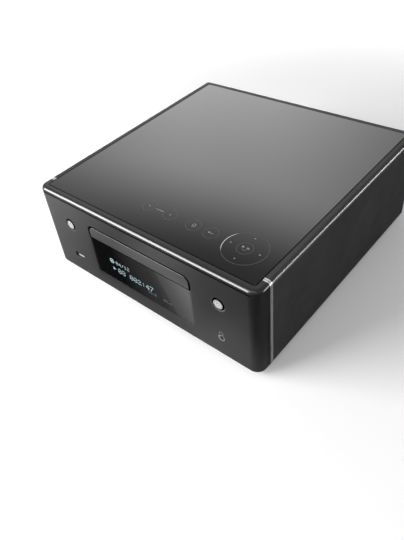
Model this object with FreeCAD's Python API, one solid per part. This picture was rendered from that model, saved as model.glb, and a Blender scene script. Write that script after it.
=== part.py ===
import FreeCAD, Part
import math
import os

from FreeCAD import Vector

# Disc receiver of a micro hi-fi system, in millimetres.
# +X is right as seen from the front, +Y runs to the back and +Z is up.
# The origin lies on the floor under the centre of the whole unit.
# A depth is measured back from the front plane, and its name ends in _d.

# Cabinet
body_width = 280.0
body_depth = 285.0
body_height = 101.0
foot_height = 7.0
terminal_reach = 20.0
corner_radius = 10.0
rear_corner_radius = 5.0
top_edge_radius = 4.0
bottom_edge_radius = 1.0
wall = 3.0
top_thickness = 5.0
lip_thickness = 1.6
lip_width = 10.0
sheet = 1.2
fit_gap = 0.3
press_gap = 0.02

# Cuts run past the faces that they open, and joined pieces reach into each other
past = 1.0
bite = 0.5

# Front panel, trim strips and top plate
panel_depth = 16.7
trim_width = 3.5
trim_thickness = 1.6
rim_width = 7.6
plate_thickness = 2.4
plate_gap = 0.6
plate_sink = 0.15
trim_end_gap = 0.2
plate_corner_radius = 2.5

# Opening in the front, shared by the tray door and the display window
opening_width = 134.0
opening_bottom = 18.0
opening_height = 61.4
opening_low_radius = 4.5
opening_top_radius = 7.6
door_width = 131.0
door_height = 13.1
door_top_gap = 0.9
door_top_radius = 6.2
window_gap = 0.2
window_door_gap = 1.3
window_recess = 0.2
window_top_radius = 0.3
door_low_radius = 0.5
window_flange = 3.0
flange_thickness = 1.2

# Buttons and front sockets
button_side_gap = 41.8
button_rise = 66.3
button_radius = 5.4
button_hole_radius = 6.0
button_bevel = 1.7
button_flange_radius = 8.6
button_flange_thickness = 1.3
button_travel = 0.8
button_chamfer = 0.4
switch_size = 6.2
switch_height = 1.6
switch_gap = 0.05
plunger_radius = 1.7
usb_offset = 0.7
usb_rise = 24.0
usb_cut_width = 14.0
usb_cut_height = 6.5
usb_cut_radius = 0.6
usb_width = 13.2
usb_height = 5.8
usb_shell = 0.4
usb_length = 15.0
usb_recess = 0.5
usb_back_wall = 2.0
tongue_width = 11.0
tongue_thickness = 1.8
tongue_rise = 0.0
tongue_recess = 0.6
jack_offset = 0.6
jack_rise = 23.0
jack_ring_radius = 3.7
jack_ring_gap = 0.1
jack_bore_radius = 1.8
jack_bore_length = 14.0
jack_body_size = 9.0
jack_body_length = 15.5
front_flange_margin = 2.5
front_flange_thickness = 1.0

# Front board and display
board_thickness = 1.6
front_board_d = 8.0
front_board_bottom = 5.0
front_board_top = 77.0
front_board_side_gap = 12.0
display_width = 100.0
display_height = 30.0
display_thickness = 3.2
display_rise = 27.0
panel_boss_radius = 3.0
panel_boss_inset = 4.0
panel_boss_rises = (11.0, 50.0)
notch_gap = 0.3
loader_notch_gap = 2.0
rack_notch_gap = 3.0

# Disc tray
tray_width = 128.0
tray_length = 172.0
tray_height = 8.0
tray_floor = 2.4
tray_skin = 2.0
tray_lift = 3.1
tray_travel = 140.0
spindle_d = 78.0
disc_recess_radius = 60.4
small_recess_radius = 41.0
small_recess_depth = 1.0
slot_width = 40.0
rack_height = 3.3
rack_x = -53.0
rack_back = 4.0
rack_margin = 5.0
rack_root_wall = 1.0
tray_corner_radius = 2.0

# Loader
loader_front_d = 12.0
loader_end_bar = 6.0
loader_wall = 2.5
loader_drop = 11.5
loader_sheet = 2.0
rail_width = 3.8
rail_height = 2.2
tab_length = 12.0
tab_width = 2.3
tab_thickness = 1.8
tab_front_inset = 4.0
tab_back_insets = (70.0, 30.0)
loader_headroom = 2.5
leg_radius = 4.0
leg_inset = 6.8
leg_front_gap = 4.0
leg_back_gap = 1.0
pin_radius = 2.0
hub_wall = 2.0
shaft_hole_gap = 2.0
gear_overhang = 0.2
running_gap = 0.06
tooth_module = 1.0
tray_gear_teeth = 24
loading_gear_teeth = 30
pinion_teeth = 14
gear_d = 30.0
motor_radius = 11.0
motor_height = 14.0
motor_shaft_radius = 1.0

# Disc drive
frame_half_width = 48.0
frame_bar = 5.0
frame_height = 6.8
frame_reach = 20.0
frame_gap = 1.5
frame_front_gap = 2.0
frame_back_gap = 4.0
lift_axis_inset = 4.0
lift_pin_radius = 2.0
lift_ear = 4.0
lift_ear_reach = 5.0
frame_drop = 15.5
frame_pad = 1.8
damper_height = 4.0
damper_radius = 4.0
damper_pad_margin = 1.0
damper_inset = 3.0
damper_front_inset = 7.0
damper_back_inset = 11.0
deck_inset = 2.0
platter_rise = 5.9
platter_radius = 15.0
platter_thickness = 1.8
hub_radius = 7.4
hub_height = 2.5
hub_chamfer = 1.0
spindle_motor_radius = 12.0
spindle_motor_height = 10.8
motor_end_wall = 2.0
spindle_boss_wall = 2.0
rod_radius = 1.5
rod_x = 20.0
rod_drop = 3.8
rod_back_margin = 9.0
bracket_length = 3.0
bracket_half_width = 2.2
deck_slot_margin = 4.0
deck_slot_inset = 2.0
sled_half_width = 15.0
sled_length = 24.0
sled_travel = 36.0
sled_front_gap = 1.0
sled_back_gap = 3.0
sled_half_height = 2.5
sled_rise = 1.0
sleeve_wall = 1.7
lens_inner_radius = 24.0
lens_radius = 4.0
lens_below_platter = 2.0
feed_module = 0.8
feed_teeth = 16
feed_gear_d = 134.0
feed_rack_x = 26.5
feed_rack_back = 3.0
feed_rack_margin = 6.0
feed_rack_height = 3.0
feed_motor_radius = 7.5
feed_motor_height = 12.0
feed_motor_gap = 1.0
feed_gear_drop = 0.2
feed_shaft_inset = 3.0
feed_pillar_radius = 1.4
feed_pillar_gap = 2.5
feed_plate_half_width = 5.0
feed_plate_margin = 2.0

# Clamp
bridge_thickness = 1.6
bridge_width = 44.0
clamper_radius = 17.0
clamper_hub_radius = 11.0
clamper_hole_gap = 1.0
clamper_thickness = 3.0
clamper_reach = 2.0
clamper_rest_gap = 0.1

# Feet and screws
foot_radius = 17.0
foot_lip_gap = 6.0
foot_chamfer = 1.2
front_foot_d = 36.0
rear_foot_inset = 35.0
pad_radius = 12.0
pad_height = 1.6
pad_recess = 0.6
pad_gap = 0.2
screw_radius = 1.5
screw_hole_radius = 1.7
screw_head_radius = 2.9
screw_head_height = 1.4
screw_length = 8.0
boss_size = 10.0
boss_length = 20.0
pilot_gap = 0.05
screw_slot_length = 3.6
screw_slot_width = 0.6
screw_slot_depth = 0.8
front_screw_inset = 18.0
rear_screw_inset = 12.0
panel_screw_inset = 4.0
panel_screw_x = 60.0
flange_screw_x = 50.0
chassis_front_gap = 1.5
chassis_flange_inset = 12.0

# Circuit boards, kept off the chassis floor by spacers
board_rise = 8.2
spacer_radius = 3.0
side_board_gap = 68.0
side_board_front_d = 60.0
side_board_rear_gap = 12.6
side_board_wall_gap = 9.0
main_board_half_width = 54.0
main_board_front_d = 24.0
main_board_rear_gap = 4.6
main_spacer_rear_inset = 24.0
touch_side_gap = 5.0
touch_width = 152.0
touch_window_gap = 2.0
touch_front_d = 24.0
touch_back_d = 64.0
spacer_inset = 6.0
spacer_end_inset = 8.0
main_parts = (
    (-20.0, 96.0, 20.0, 20.0, 2.0),
    (8.0, 66.0, 14.0, 14.0, 1.8),
    (-40.0, 176.0, 12.0, 12.0, 1.8),
    (-9.0, 6.0, 18.0, 6.0, 5.0),
)
tuner_part = (-32.0, 176.0, 28.0, 36.0, 9.0)
network_part = (-16.0, 136.0, 30.0, 30.0, 4.5)
amplifier_part = (10.0, 100.0, 5.0, 30.0, 18.0)
capacitor_cans = (
    (-44.0, 30.0, 12.5, 40.0),
    (-16.0, 30.0, 12.5, 40.0),
    (-44.0, 130.0, 8.0, 25.0),
    (-24.0, 130.0, 8.0, 25.0),
    (-32.0, 160.0, 6.0, 20.0),
    (-14.0, 160.0, 6.0, 20.0),
)
can_edge_radius = 0.8
core_x = -32.0
core_d = 87.0
core_width = 32.0
core_length = 14.0
core_height = 32.0
core_bar = 5.0
coil_width = 20.0
coil_length = 26.0
coil_gap = 0.1
ribbon_thickness = 0.4
ribbon_width = 16.0
ribbon_rise = 12.0
ribbon_overlap = 8.0
touch_ribbon_inset = 20.0
touch_ribbon_reach = 6.0
touch_ribbon_width = 12.0
heat_sink_base = 4.0
heat_sink_gap = 15.0
heat_sink_front_d = 120.0
heat_sink_length = 110.0
heat_sink_height = 42.0
fin_reach = 24.0
fin_thickness = 1.6
fin_rise = 2.0
fin_count = 12
vent_length = 34.0
vent_width = 3.2
vent_step = 14.0
vent_count = 9
vent_first_d = 90.0

# Rear sockets, with their heights above the cabinet's lower edge
rear_inset = 1.2
flange_reach = 12.0
side_flange_reach = 24.0
rear_vent_count = 10
rear_vent_step = 8.0
rear_vent_width = 3.0
rear_vent_first_x = -36.0
rear_vent_drop = 10.0
rear_vent_height = 22.0
socket_gap = 0.2
socket_flange = 1.0
mains_side_gap = 25.0
mains_rise = 25.0
mains_width = 24.0
mains_height = 15.0
mains_depth = 20.0
mains_flange_margin = 1.5
mains_well_width = 16.6
mains_well_height = 8.6
mains_well_depth = 13.0
mains_pin_radius = 1.2
mains_pin_spacing = 8.6
mains_pin_recess = 2.0
mains_well_straight = 0.02
network_side_gap = 65.0
network_rise = 23.0
network_width = 16.0
network_height = 13.6
network_well_width = 11.8
network_well_height = 8.0
network_well_depth = 12.0
network_depth = 16.0
network_lip = 0.6
optical_side_gaps = (89.0, 107.0)
optical_rise = 23.0
optical_size = 10.0
optical_depth = 12.0
shutter_size = 6.4
phono_places = ((-2.0, 21.0), (-2.0, 37.0), (14.0, 21.0), (14.0, 37.0), (30.0, 21.0))
phono_ring_radius = 4.0
phono_bore_radius = 1.6
phono_reach = 8.0
phono_depth = 12.0
phono_bore_depth = 16.0
phono_collar_thickness = 1.2
phono_collar_margin = 1.6
aerial_side_gap = 97.0
aerial_rise = 53.0
aerial_socket_size = 12.0
aerial_socket_reach = 9.0
aerial_socket_depth = 10.0
aerial_collar_radius = 4.7
aerial_bore_radius = 3.6
aerial_contact_radius = 1.1
aerial_contact_recess = 1.0
terminal_side_gap = 13.0
terminal_block_width = 68.0
terminal_block_height = 28.0
terminal_rise = 27.0
terminal_end_gap = 10.0
terminal_spacing = 16.0
terminal_count = 4
terminal_plate = 2.4
terminal_depth = 8.0
terminal_back_margin = 3.0
stem_depth = 6.0
stem_collar_inset = 1.5
knob_radius = 6.3
knob_length = 15.2
knob_bore_length = 8.0
knob_chamfer = 0.8
plug_bore_radius = 2.05
post_radius = 2.9
flute_count = 12
flute_radius = 0.9
flute_inset = 3.0

# Rod aerials at the back
aerial_rod_side_gap = 8.0
aerial_rod_drop = 15.0
aerial_arm = 9.0
aerial_tongue = 4.4
aerial_eye_radius = 5.0
aerial_pin_radius = 1.25
aerial_ear = 2.6
aerial_rod_radius = 4.2
aerial_tip_radius = 3.4
aerial_tip_rise = 3.0
aerial_ear_gap = 0.2
aerial_ear_inset = 0.8
aerial_ear_drop = 8.0
crown_drop = 6.5
crown_height = 3.0
knuckle_depth = 4.0
knuckle_radius = 3.0
knuckle_collar_radius = 5.4
knuckle_collar_thickness = 2.6
knuckle_half_height = 4.0

# Places worked out from the sizes above
half_width = body_width / 2.0
front_y = -(body_depth + terminal_reach) / 2.0
base_z = foot_height
top_z = foot_height + body_height
inner_half = half_width - wall
ceiling_z = top_z - top_thickness
floor_z = base_z + lip_thickness
chassis_top_z = floor_z + sheet
board_z = chassis_top_z + board_rise
plate_top_z = top_z - plate_sink
plate_z = plate_top_z - plate_thickness
recess_half = half_width - rim_width
recess_back_d = body_depth - rim_width
opening_z0 = base_z + opening_bottom
opening_z1 = opening_z0 + opening_height
door_z1 = opening_z1 - door_top_gap
door_z0 = door_z1 - door_height
window_z0 = opening_z0 + window_gap
window_z1 = door_z0 - window_door_gap
button_x = half_width - button_side_gap
button_z = base_z + button_rise
usb_x = -button_x + usb_offset
usb_z = base_z + usb_rise
jack_x = button_x + jack_offset
jack_z = base_z + jack_rise
tray_half = tray_width / 2.0
tray_z0 = door_z0 + tray_lift
tray_z1 = tray_z0 + tray_height
tray_back_d = wall + tray_length
disc_floor_z = tray_z0 + tray_floor
rack_z0 = tray_z0 - rack_height
loader_inner = tray_half + fit_gap
loader_outer = loader_inner + loader_wall
loader_floor_z = tray_z0 - loader_drop
loader_top_z = tray_z1 + loader_headroom
tray_gear_radius = tooth_module * tray_gear_teeth / 2.0
loading_gear_radius = tooth_module * loading_gear_teeth / 2.0
pinion_radius = tooth_module * pinion_teeth / 2.0
tray_gear_x = rack_x + tray_gear_radius
loading_gear_x = tray_gear_x + tray_gear_radius + loading_gear_radius
pinion_x = loading_gear_x + loading_gear_radius + pinion_radius
gear_top_z = tray_z0 - fit_gap
gear_bottom_z = rack_z0 - gear_overhang
frame_z0 = tray_z0 - frame_drop
frame_z1 = frame_z0 + frame_height
lift_axis_z = frame_z0 + frame_height / 2.0
deck_z0 = frame_z0 + frame_pad + damper_height
deck_z1 = deck_z0 + sheet
platter_z1 = deck_z1 + platter_rise
rod_z = deck_z0 - rod_drop
sled_front_d = spindle_d + lens_inner_radius - sled_length / 3.0
sled_back_d = sled_front_d + sled_length
rod_first_d = sled_front_d - sled_front_gap - bracket_length
rod_last_d = sled_back_d + sled_travel + sled_back_gap + bracket_length
frame_front_d = spindle_d - frame_reach
frame_back_d = rod_last_d + rod_back_margin + deck_inset + frame_bar
lift_axis_d = frame_back_d - lift_axis_inset
loader_back_d = frame_back_d + frame_back_gap + loader_end_bar
feed_gear_radius = feed_module * feed_teeth / 2.0
feed_gear_x = feed_rack_x + feed_gear_radius
feed_rack_z0 = frame_z0 - fit_gap - feed_rack_height
feed_rack_front_d = feed_gear_d - sled_travel - feed_rack_margin
feed_rack_back_d = feed_gear_d + feed_rack_margin
heat_sink_x = side_board_gap + heat_sink_gap
rear_d = body_depth - rear_inset
rear_inner_d = rear_d - sheet
case_back_d = body_depth + terminal_reach
foot_x = inner_half - lip_width - foot_lip_gap - foot_radius
rear_foot_d = body_depth - rear_foot_inset
side_board_outer = inner_half - side_board_wall_gap
side_board_back_d = rear_inner_d - side_board_rear_gap
main_board_back_d = rear_inner_d - main_board_rear_gap
touch_right_x = recess_half - touch_side_gap
touch_left_x = touch_right_x - touch_width
mains_x = mains_side_gap - inner_half
network_x = network_side_gap - inner_half
optical_x = [gap - inner_half for gap in optical_side_gaps]
aerial_x = aerial_side_gap - inner_half
terminal_block_x = inner_half - terminal_side_gap - terminal_block_width
terminal_back_width = terminal_block_width - 2 * terminal_back_margin
terminal_back_height = terminal_block_height - 2 * terminal_back_margin
aerial_rod_x = inner_half - aerial_rod_side_gap
aerial_rod_z = ceiling_z - aerial_rod_drop
rear_vent_z1 = ceiling_z - rear_vent_drop

WHOLE = 2.0 * math.pi


def at(x, depth, z):
    """Point at a depth behind the front plane."""
    return Vector(x, front_y + depth, z)


def slab(x0, x1, d0, d1, z0, z1):
    """Block between two limits along each axis."""
    return Part.makeBox(x1 - x0, d1 - d0, z1 - z0, at(x0, d0, z0))


def post(x, depth, z0, z1, radius):
    """Upright round bar."""
    return Part.makeCylinder(radius, z1 - z0, at(x, depth, z0), Vector(0, 0, 1))


def barrel(x, z, d0, d1, radius):
    """Round bar that runs from front to back."""
    return Part.makeCylinder(radius, d1 - d0, at(x, d0, z), Vector(0, 1, 0))


def cone(x, z, d0, d1, r0, r1):
    """Tapered round bar that runs from front to back."""
    return Part.makeCone(r0, r1, d1 - d0, at(x, d0, z), Vector(0, 1, 0))


def cross_bar(x0, x1, depth, z, radius):
    """Round bar that runs from left to right."""
    return Part.makeCylinder(radius, x1 - x0, at(x0, depth, z), Vector(1, 0, 0))


def mirrored(shape):
    """Same piece on the other side of the middle plane."""
    return shape.mirror(Vector(0, 0, 0), Vector(1, 0, 0))


def both_sides(shape):
    """A piece and its mirror image."""
    return [shape, mirrored(shape)]


def join(first, others):
    """One solid from pieces that share volume or faces."""
    return first.fuse(others).removeSplitter()


def save(name, *solids):
    """Write one node, of one solid or of several apart."""
    shape = solids[0] if len(solids) == 1 else Part.makeCompound(list(solids))
    shape.exportStep("parts/" + name + ".step")


def edges_at_height(shape, z):
    """Edges of a shape whose ends both lie at one height."""
    return [edge for edge in shape.Edges
            if all(abs(vertex.Point.z - z) < 1e-6 for vertex in edge.Vertexes)]


def edges_at_depth(shape, depth):
    """Edges of a shape whose ends both lie at one depth."""
    return [edge for edge in shape.Edges
            if all(abs(vertex.Point.y - front_y - depth) < 1e-6 for vertex in edge.Vertexes)]


def upright_edges(shape, near_front, near_back):
    """Upright edges at the front, at the back or at both."""
    found = []
    box = shape.BoundBox
    for edge in shape.Edges:
        ends = [vertex.Point for vertex in edge.Vertexes]
        if abs(ends[0].z - ends[-1].z) < 1e-6 or abs(ends[0].x - ends[-1].x) > 1e-6:
            continue
        at_front = abs(ends[0].y - box.YMin) < 1e-6
        at_back = abs(ends[0].y - box.YMax) < 1e-6
        if (near_front and at_front) or (near_back and at_back):
            found.append(edge)
    return found


def rounded_face(x0, x1, z0, z1, depth, low_radius, top_radius):
    """Upright rectangle with its own radius at the low and the top corners."""
    corners = [
        (x0, z0, low_radius, 180.0),
        (x1, z0, low_radius, 270.0),
        (x1, z1, top_radius, 0.0),
        (x0, z1, top_radius, 90.0),
    ]
    inward = {180.0: (1, 1), 270.0: (-1, 1), 0.0: (-1, -1), 90.0: (1, -1)}
    arcs = []
    for x, z, radius, start in corners:
        side_x, side_z = inward[start]
        centre_x = x + side_x * radius
        centre_z = z + side_z * radius
        ends = []
        for angle in (start, start + 45.0, start + 90.0):
            turn = math.radians(angle)
            ends.append(at(centre_x + radius * math.cos(turn), depth, centre_z + radius * math.sin(turn)))
        arcs.append(ends)
    edges = []
    for index, ends in enumerate(arcs):
        edges.append(Part.Arc(*ends).toShape())
        following = arcs[(index + 1) % 4]
        edges.append(Part.LineSegment(ends[2], following[0]).toShape())
    return Part.Face(Part.Wire(edges))


def rounded_block(x0, x1, z0, z1, d0, d1, low_radius, top_radius):
    """Rounded upright rectangle, pushed from one depth to another."""
    return rounded_face(x0, x1, z0, z1, d0, low_radius, top_radius).extrude(Vector(0, d1 - d0, 0))


def plan_block(x0, x1, d0, d1, z0, z1, radius):
    """Flat block with rounded corners as seen from above."""
    block = slab(x0, x1, d0, d1, z0, z1)
    return block.makeFillet(radius, upright_edges(block, True, True))


def centred_block(x, z, width, height, d0, d1):
    """Block centred on a point of the front or the back."""
    return slab(x - width / 2.0, x + width / 2.0, d0, d1, z - height / 2.0, z + height / 2.0)


# Share of the pitch that a tooth takes at its root and at its tip,
# and how far the root and the tip lie from the pitch line, in modules.
tooth_root_share = 0.66
tooth_tip_share = 0.22
tooth_root_depth = 1.1
tooth_tip_height = 0.8


def tooth_corners(module):
    """One tooth as four places along the pitch and across it."""
    return (
        (-tooth_root_share / 2.0, -tooth_root_depth * module),
        (-tooth_tip_share / 2.0, tooth_tip_height * module),
        (tooth_tip_share / 2.0, tooth_tip_height * module),
        (tooth_root_share / 2.0, -tooth_root_depth * module),
    )


def gear(x, depth, z0, z1, module, teeth, half_turned):
    """Upright spur gear, with a tooth or a space towards +X."""
    pitch_radius = module * teeth / 2.0
    pitch_angle = WHOLE / teeth
    points = []
    for tooth in range(teeth):
        for along, across in tooth_corners(module):
            angle = (tooth + along + (0.5 if half_turned else 0.0)) * pitch_angle
            radius = pitch_radius + across
            points.append(at(x + radius * math.cos(angle), depth + radius * math.sin(angle), z0))
    outline = Part.makePolygon(points + points[:1])
    return Part.Face(outline).extrude(Vector(0, 0, z1 - z0))


def rack(pitch_x, back_x, d0, d1, z0, z1, module, space_d):
    """Straight rack along Y with its teeth towards +X and a space at one depth."""
    pitch = math.pi * module
    first = math.ceil((d0 - space_d) / pitch)
    last = math.floor((d1 - space_d) / pitch) - 1
    points = [at(back_x, d0, z0)]
    points.append(at(pitch_x - tooth_root_depth * module, d0, z0))
    for tooth in range(first, last + 1):
        for along, across in tooth_corners(module):
            points.append(at(pitch_x + across, space_d + (tooth + 0.5 + along) * pitch, z0))
    points.append(at(pitch_x - tooth_root_depth * module, d1, z0))
    points.append(at(back_x, d1, z0))
    outline = Part.makePolygon(points + points[:1])
    return Part.Face(outline).extrude(Vector(0, 0, z1 - z0))


def outer_body():
    """The cabinet's outside, before it is split into its parts."""
    block = slab(-half_width, half_width, 0, body_depth, base_z, top_z)
    block = block.makeFillet(corner_radius, upright_edges(block, True, False))
    block = block.makeFillet(rear_corner_radius, upright_edges(block, False, True))
    block = block.makeFillet(top_edge_radius, edges_at_height(block, top_z))
    return block.makeFillet(bottom_edge_radius, edges_at_height(block, base_z))


def plate_recess():
    """Shallow well in the top that takes the top plate."""
    return plan_block(-recess_half, recess_half, rim_width, recess_back_d,
                      plate_z, top_z + past, plate_corner_radius + plate_gap)


def bottom_screw_places():
    """Screws from below, through the lips into the chassis floor."""
    side_x = inner_half - lip_width / 2.0
    places = []
    for depth in (panel_depth + front_screw_inset, body_depth / 2.0, rear_inner_d - rear_screw_inset):
        places.append((side_x, depth))
        places.append((-side_x, depth))
    for x in (-panel_screw_x, panel_screw_x):
        places.append((x, panel_depth - panel_screw_inset))
    return places


def rear_screw_places():
    """Screws from behind, into the cover's bosses and the chassis flange."""
    boss_x = inner_half - boss_size / 2.0
    boss_z = ceiling_z - boss_size / 2.0
    flange_z = chassis_top_z + flange_reach / 2.0
    return [(-boss_x, boss_z), (boss_x, boss_z), (-flange_screw_x, flange_z), (flange_screw_x, flange_z)]


def bottom_screw_holes():
    """Clearance holes of the screws from below."""
    return [post(x, depth, base_z - past, chassis_top_z + past, screw_hole_radius)
            for x, depth in bottom_screw_places()]


def panel_boss_places():
    """Pillars behind the front wall that carry the front board."""
    side_x = inner_half - front_board_side_gap - panel_boss_inset
    return [(x, base_z + rise) for x in (-side_x, side_x) for rise in panel_boss_rises]


def make_front_panel():
    """Front wall that wraps round both corners and over the front edge."""
    shell = outer_body().common(slab(-half_width, half_width, 0, panel_depth, base_z, top_z))
    hollow = slab(-inner_half, inner_half, wall, panel_depth + past, floor_z, ceiling_z)
    hollow = hollow.makeFillet(corner_radius - wall, upright_edges(hollow, True, False))
    shell = shell.cut(hollow).cut(plate_recess())
    cuts = [rounded_block(-opening_width / 2.0, opening_width / 2.0, opening_z0, opening_z1,
                          -past, wall + past, opening_low_radius, opening_top_radius)]
    for x in (-button_x, button_x):
        cuts.append(barrel(x, button_z, -past, wall + past, button_hole_radius))
        cuts.append(cone(x, button_z, 0.0, button_bevel,
                         button_hole_radius + button_bevel, button_hole_radius))
    cuts.append(rounded_block(usb_x - usb_cut_width / 2.0, usb_x + usb_cut_width / 2.0,
                              usb_z - usb_cut_height / 2.0, usb_z + usb_cut_height / 2.0,
                              -past, wall + past, usb_cut_radius, usb_cut_radius))
    cuts.append(barrel(jack_x, jack_z, -past, wall + past, jack_ring_radius + jack_ring_gap))
    shell = shell.cut(cuts)
    bosses = [barrel(x, z, wall - bite, front_board_d, panel_boss_radius) for x, z in panel_boss_places()]
    shell = join(shell, bosses)
    save("front_panel", shell.cut(bottom_screw_holes()))


def make_cover():
    """Top rim and both sides, with a step for each trim strip and a well for the plate."""
    shell = outer_body().common(slab(-half_width, half_width, panel_depth, body_depth, base_z, top_z))
    hollow = slab(-inner_half, inner_half, panel_depth - past, body_depth + past, floor_z, ceiling_z)
    between_lips = inner_half - lip_width
    under = slab(-between_lips, between_lips, panel_depth - past, body_depth + past, base_z - past, floor_z)
    window = slab(touch_left_x - touch_window_gap, touch_right_x + touch_window_gap,
                  touch_front_d - touch_window_gap, touch_back_d + touch_window_gap,
                  ceiling_z - past, plate_z)
    shell = shell.cut([hollow, under, plate_recess(), window] + trim_bands(0.0))
    boss = slab(inner_half - boss_size, inner_half + bite, rear_inner_d - boss_length, rear_inner_d,
                ceiling_z - boss_size, ceiling_z + bite)
    shell = join(shell, both_sides(boss))
    pilots = []
    for x, z in rear_screw_places()[:2]:
        pilots.append(barrel(x, z, rear_inner_d - screw_length, rear_inner_d + past,
                             screw_radius + pilot_gap))
    save("cabinet_cover", shell.cut(bottom_screw_holes() + pilots))


def trim_bands(end_gap):
    """The space of both trim strips, over the side and a little way along the rim."""
    back_d = panel_depth + trim_width
    band = outer_body().common(slab(-half_width, half_width, panel_depth, back_d, base_z, top_z))
    core = slab(-half_width + trim_thickness, half_width - trim_thickness,
                panel_depth - past, back_d + past, base_z - past, top_z - trim_thickness)
    inner_radius = top_edge_radius - trim_thickness
    core = core.makeFillet(inner_radius, edges_along_y(core, top_z - trim_thickness))
    ring = band.cut(core)
    end_x = recess_half + end_gap
    sides = []
    for x0, x1 in ((-half_width, -end_x), (end_x, half_width)):
        sides.append(ring.common(slab(x0, x1, panel_depth, back_d, base_z, top_z)))
    return sides


def edges_along_y(shape, z):
    """Edges from front to back at one height."""
    found = []
    for edge in shape.Edges:
        ends = [vertex.Point for vertex in edge.Vertexes]
        if abs(ends[0].y - ends[-1].y) > 1e-6 and all(abs(end.z - z) < 1e-6 for end in ends):
            found.append(edge)
    return found


def make_trim():
    """Two bright strips between the front panel and the cover."""
    left, right = trim_bands(trim_end_gap)
    save("trim_strip_left", left)
    save("trim_strip_right", right)


def make_top_plate():
    """Gloss plate let into the top."""
    save("top_plate", plan_block(-recess_half + plate_gap, recess_half - plate_gap,
                                 rim_width + plate_gap, recess_back_d - plate_gap,
                                 plate_z, plate_top_z, plate_corner_radius))


def make_window():
    """Display window, with a flange glued to the back of the front wall."""
    half = opening_width / 2.0 - window_gap
    pane = rounded_block(-half, half, window_z0, window_z1, window_recess, wall + flange_thickness,
                         opening_low_radius - window_gap, window_top_radius)
    flange = slab(-half - window_flange, half + window_flange, wall, wall + flange_thickness,
                  window_z0 - window_flange, window_z1)
    save("display_window", join(pane, [flange]))


def make_door():
    """Tray door, fixed to the front of the tray."""
    save("tray_door", rounded_block(-door_width / 2.0, door_width / 2.0, door_z0, door_z1,
                                    0.0, wall, door_low_radius, door_top_radius))


def make_buttons():
    """Two round push buttons, each with a flange behind the wall."""
    flange_d = wall + fit_gap
    for name, x in (("power_button", -button_x), ("eject_button", button_x)):
        cap = barrel(x, button_z, button_chamfer, flange_d, button_radius)
        rim = cone(x, button_z, 0.0, button_chamfer, button_radius - button_chamfer, button_radius)
        flange = barrel(x, button_z, flange_d, flange_d + button_flange_thickness, button_flange_radius)
        save(name, join(cap, [rim, flange]))


def make_switches():
    """Push switches on the front board, behind the buttons."""
    switches = []
    for x in (-button_x, button_x):
        switch_d = front_board_d - switch_height
        body = centred_block(x, button_z, switch_size, switch_size, switch_d, front_board_d)
        tip_d = wall + fit_gap + button_flange_thickness + button_travel + switch_gap
        switches.append(join(body, [barrel(x, button_z, tip_d, switch_d, plunger_radius)]))
    save("button_switches", *switches)


def front_flange(x, z, width, height):
    """Flange of a front socket, which rests on the front board."""
    return centred_block(x, z, width + 2 * front_flange_margin, height + 2 * front_flange_margin,
                         front_board_d - front_flange_thickness, front_board_d)


def make_usb_socket():
    """Socket of folded steel with its tongue, held by a flange on the front board."""
    d1 = usb_recess + usb_length
    shell = centred_block(usb_x, usb_z, usb_width, usb_height, usb_recess, d1)
    well = centred_block(usb_x, usb_z, usb_width - 2 * usb_shell, usb_height - 2 * usb_shell,
                         usb_recess - past, d1 - usb_back_wall)
    flange = front_flange(usb_x, usb_z, usb_width, usb_height)
    tongue = centred_block(usb_x, usb_z + tongue_rise, tongue_width, tongue_thickness,
                           usb_recess + tongue_recess, d1 - usb_back_wall + bite)
    body = join(shell, [flange]).cut(well)
    save("usb_socket", join(body, [tongue]))


def make_headphone_jack():
    """Small jack socket with a bright ring in the front wall."""
    ring = barrel(jack_x, jack_z, 0.0, wall, jack_ring_radius)
    body = centred_block(jack_x, jack_z, jack_body_size, jack_body_size, wall, jack_body_length)
    flange = front_flange(jack_x, jack_z, jack_body_size, jack_body_size)
    bore = barrel(jack_x, jack_z, -past, jack_bore_length, jack_bore_radius)
    save("headphone_jack", join(ring, [body, flange]).cut(bore))


def make_front_board():
    """Board behind the front wall, notched for the tray and the two sockets."""
    half = inner_half - front_board_side_gap
    z0 = base_z + front_board_bottom
    d1 = front_board_d + board_thickness
    board = slab(-half, half, front_board_d, d1, z0, base_z + front_board_top)
    notch_half = loader_outer + loader_notch_gap
    notches = [slab(-notch_half, notch_half, front_board_d - past, d1 + past,
                    rack_z0 - rack_notch_gap, top_z)]
    for x, z, width, height in ((usb_x, usb_z, usb_width, usb_height),
                                (jack_x, jack_z, jack_body_size, jack_body_size)):
        notches.append(centred_block(x, z, width + 2 * notch_gap, height + 2 * notch_gap,
                                     front_board_d - past, d1 + past))
    save("front_board", board.cut(notches))


def make_display():
    """Display panel on the front board, behind the window."""
    z0 = base_z + display_rise
    save("display_module", slab(-display_width / 2.0, display_width / 2.0,
                                front_board_d - display_thickness, front_board_d, z0, z0 + display_height))


def make_touch_board():
    """Touch sensor board under the top plate."""
    save("touch_board", slab(touch_left_x, touch_right_x, touch_front_d, touch_back_d,
                             plate_z - board_thickness, plate_z))


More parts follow.
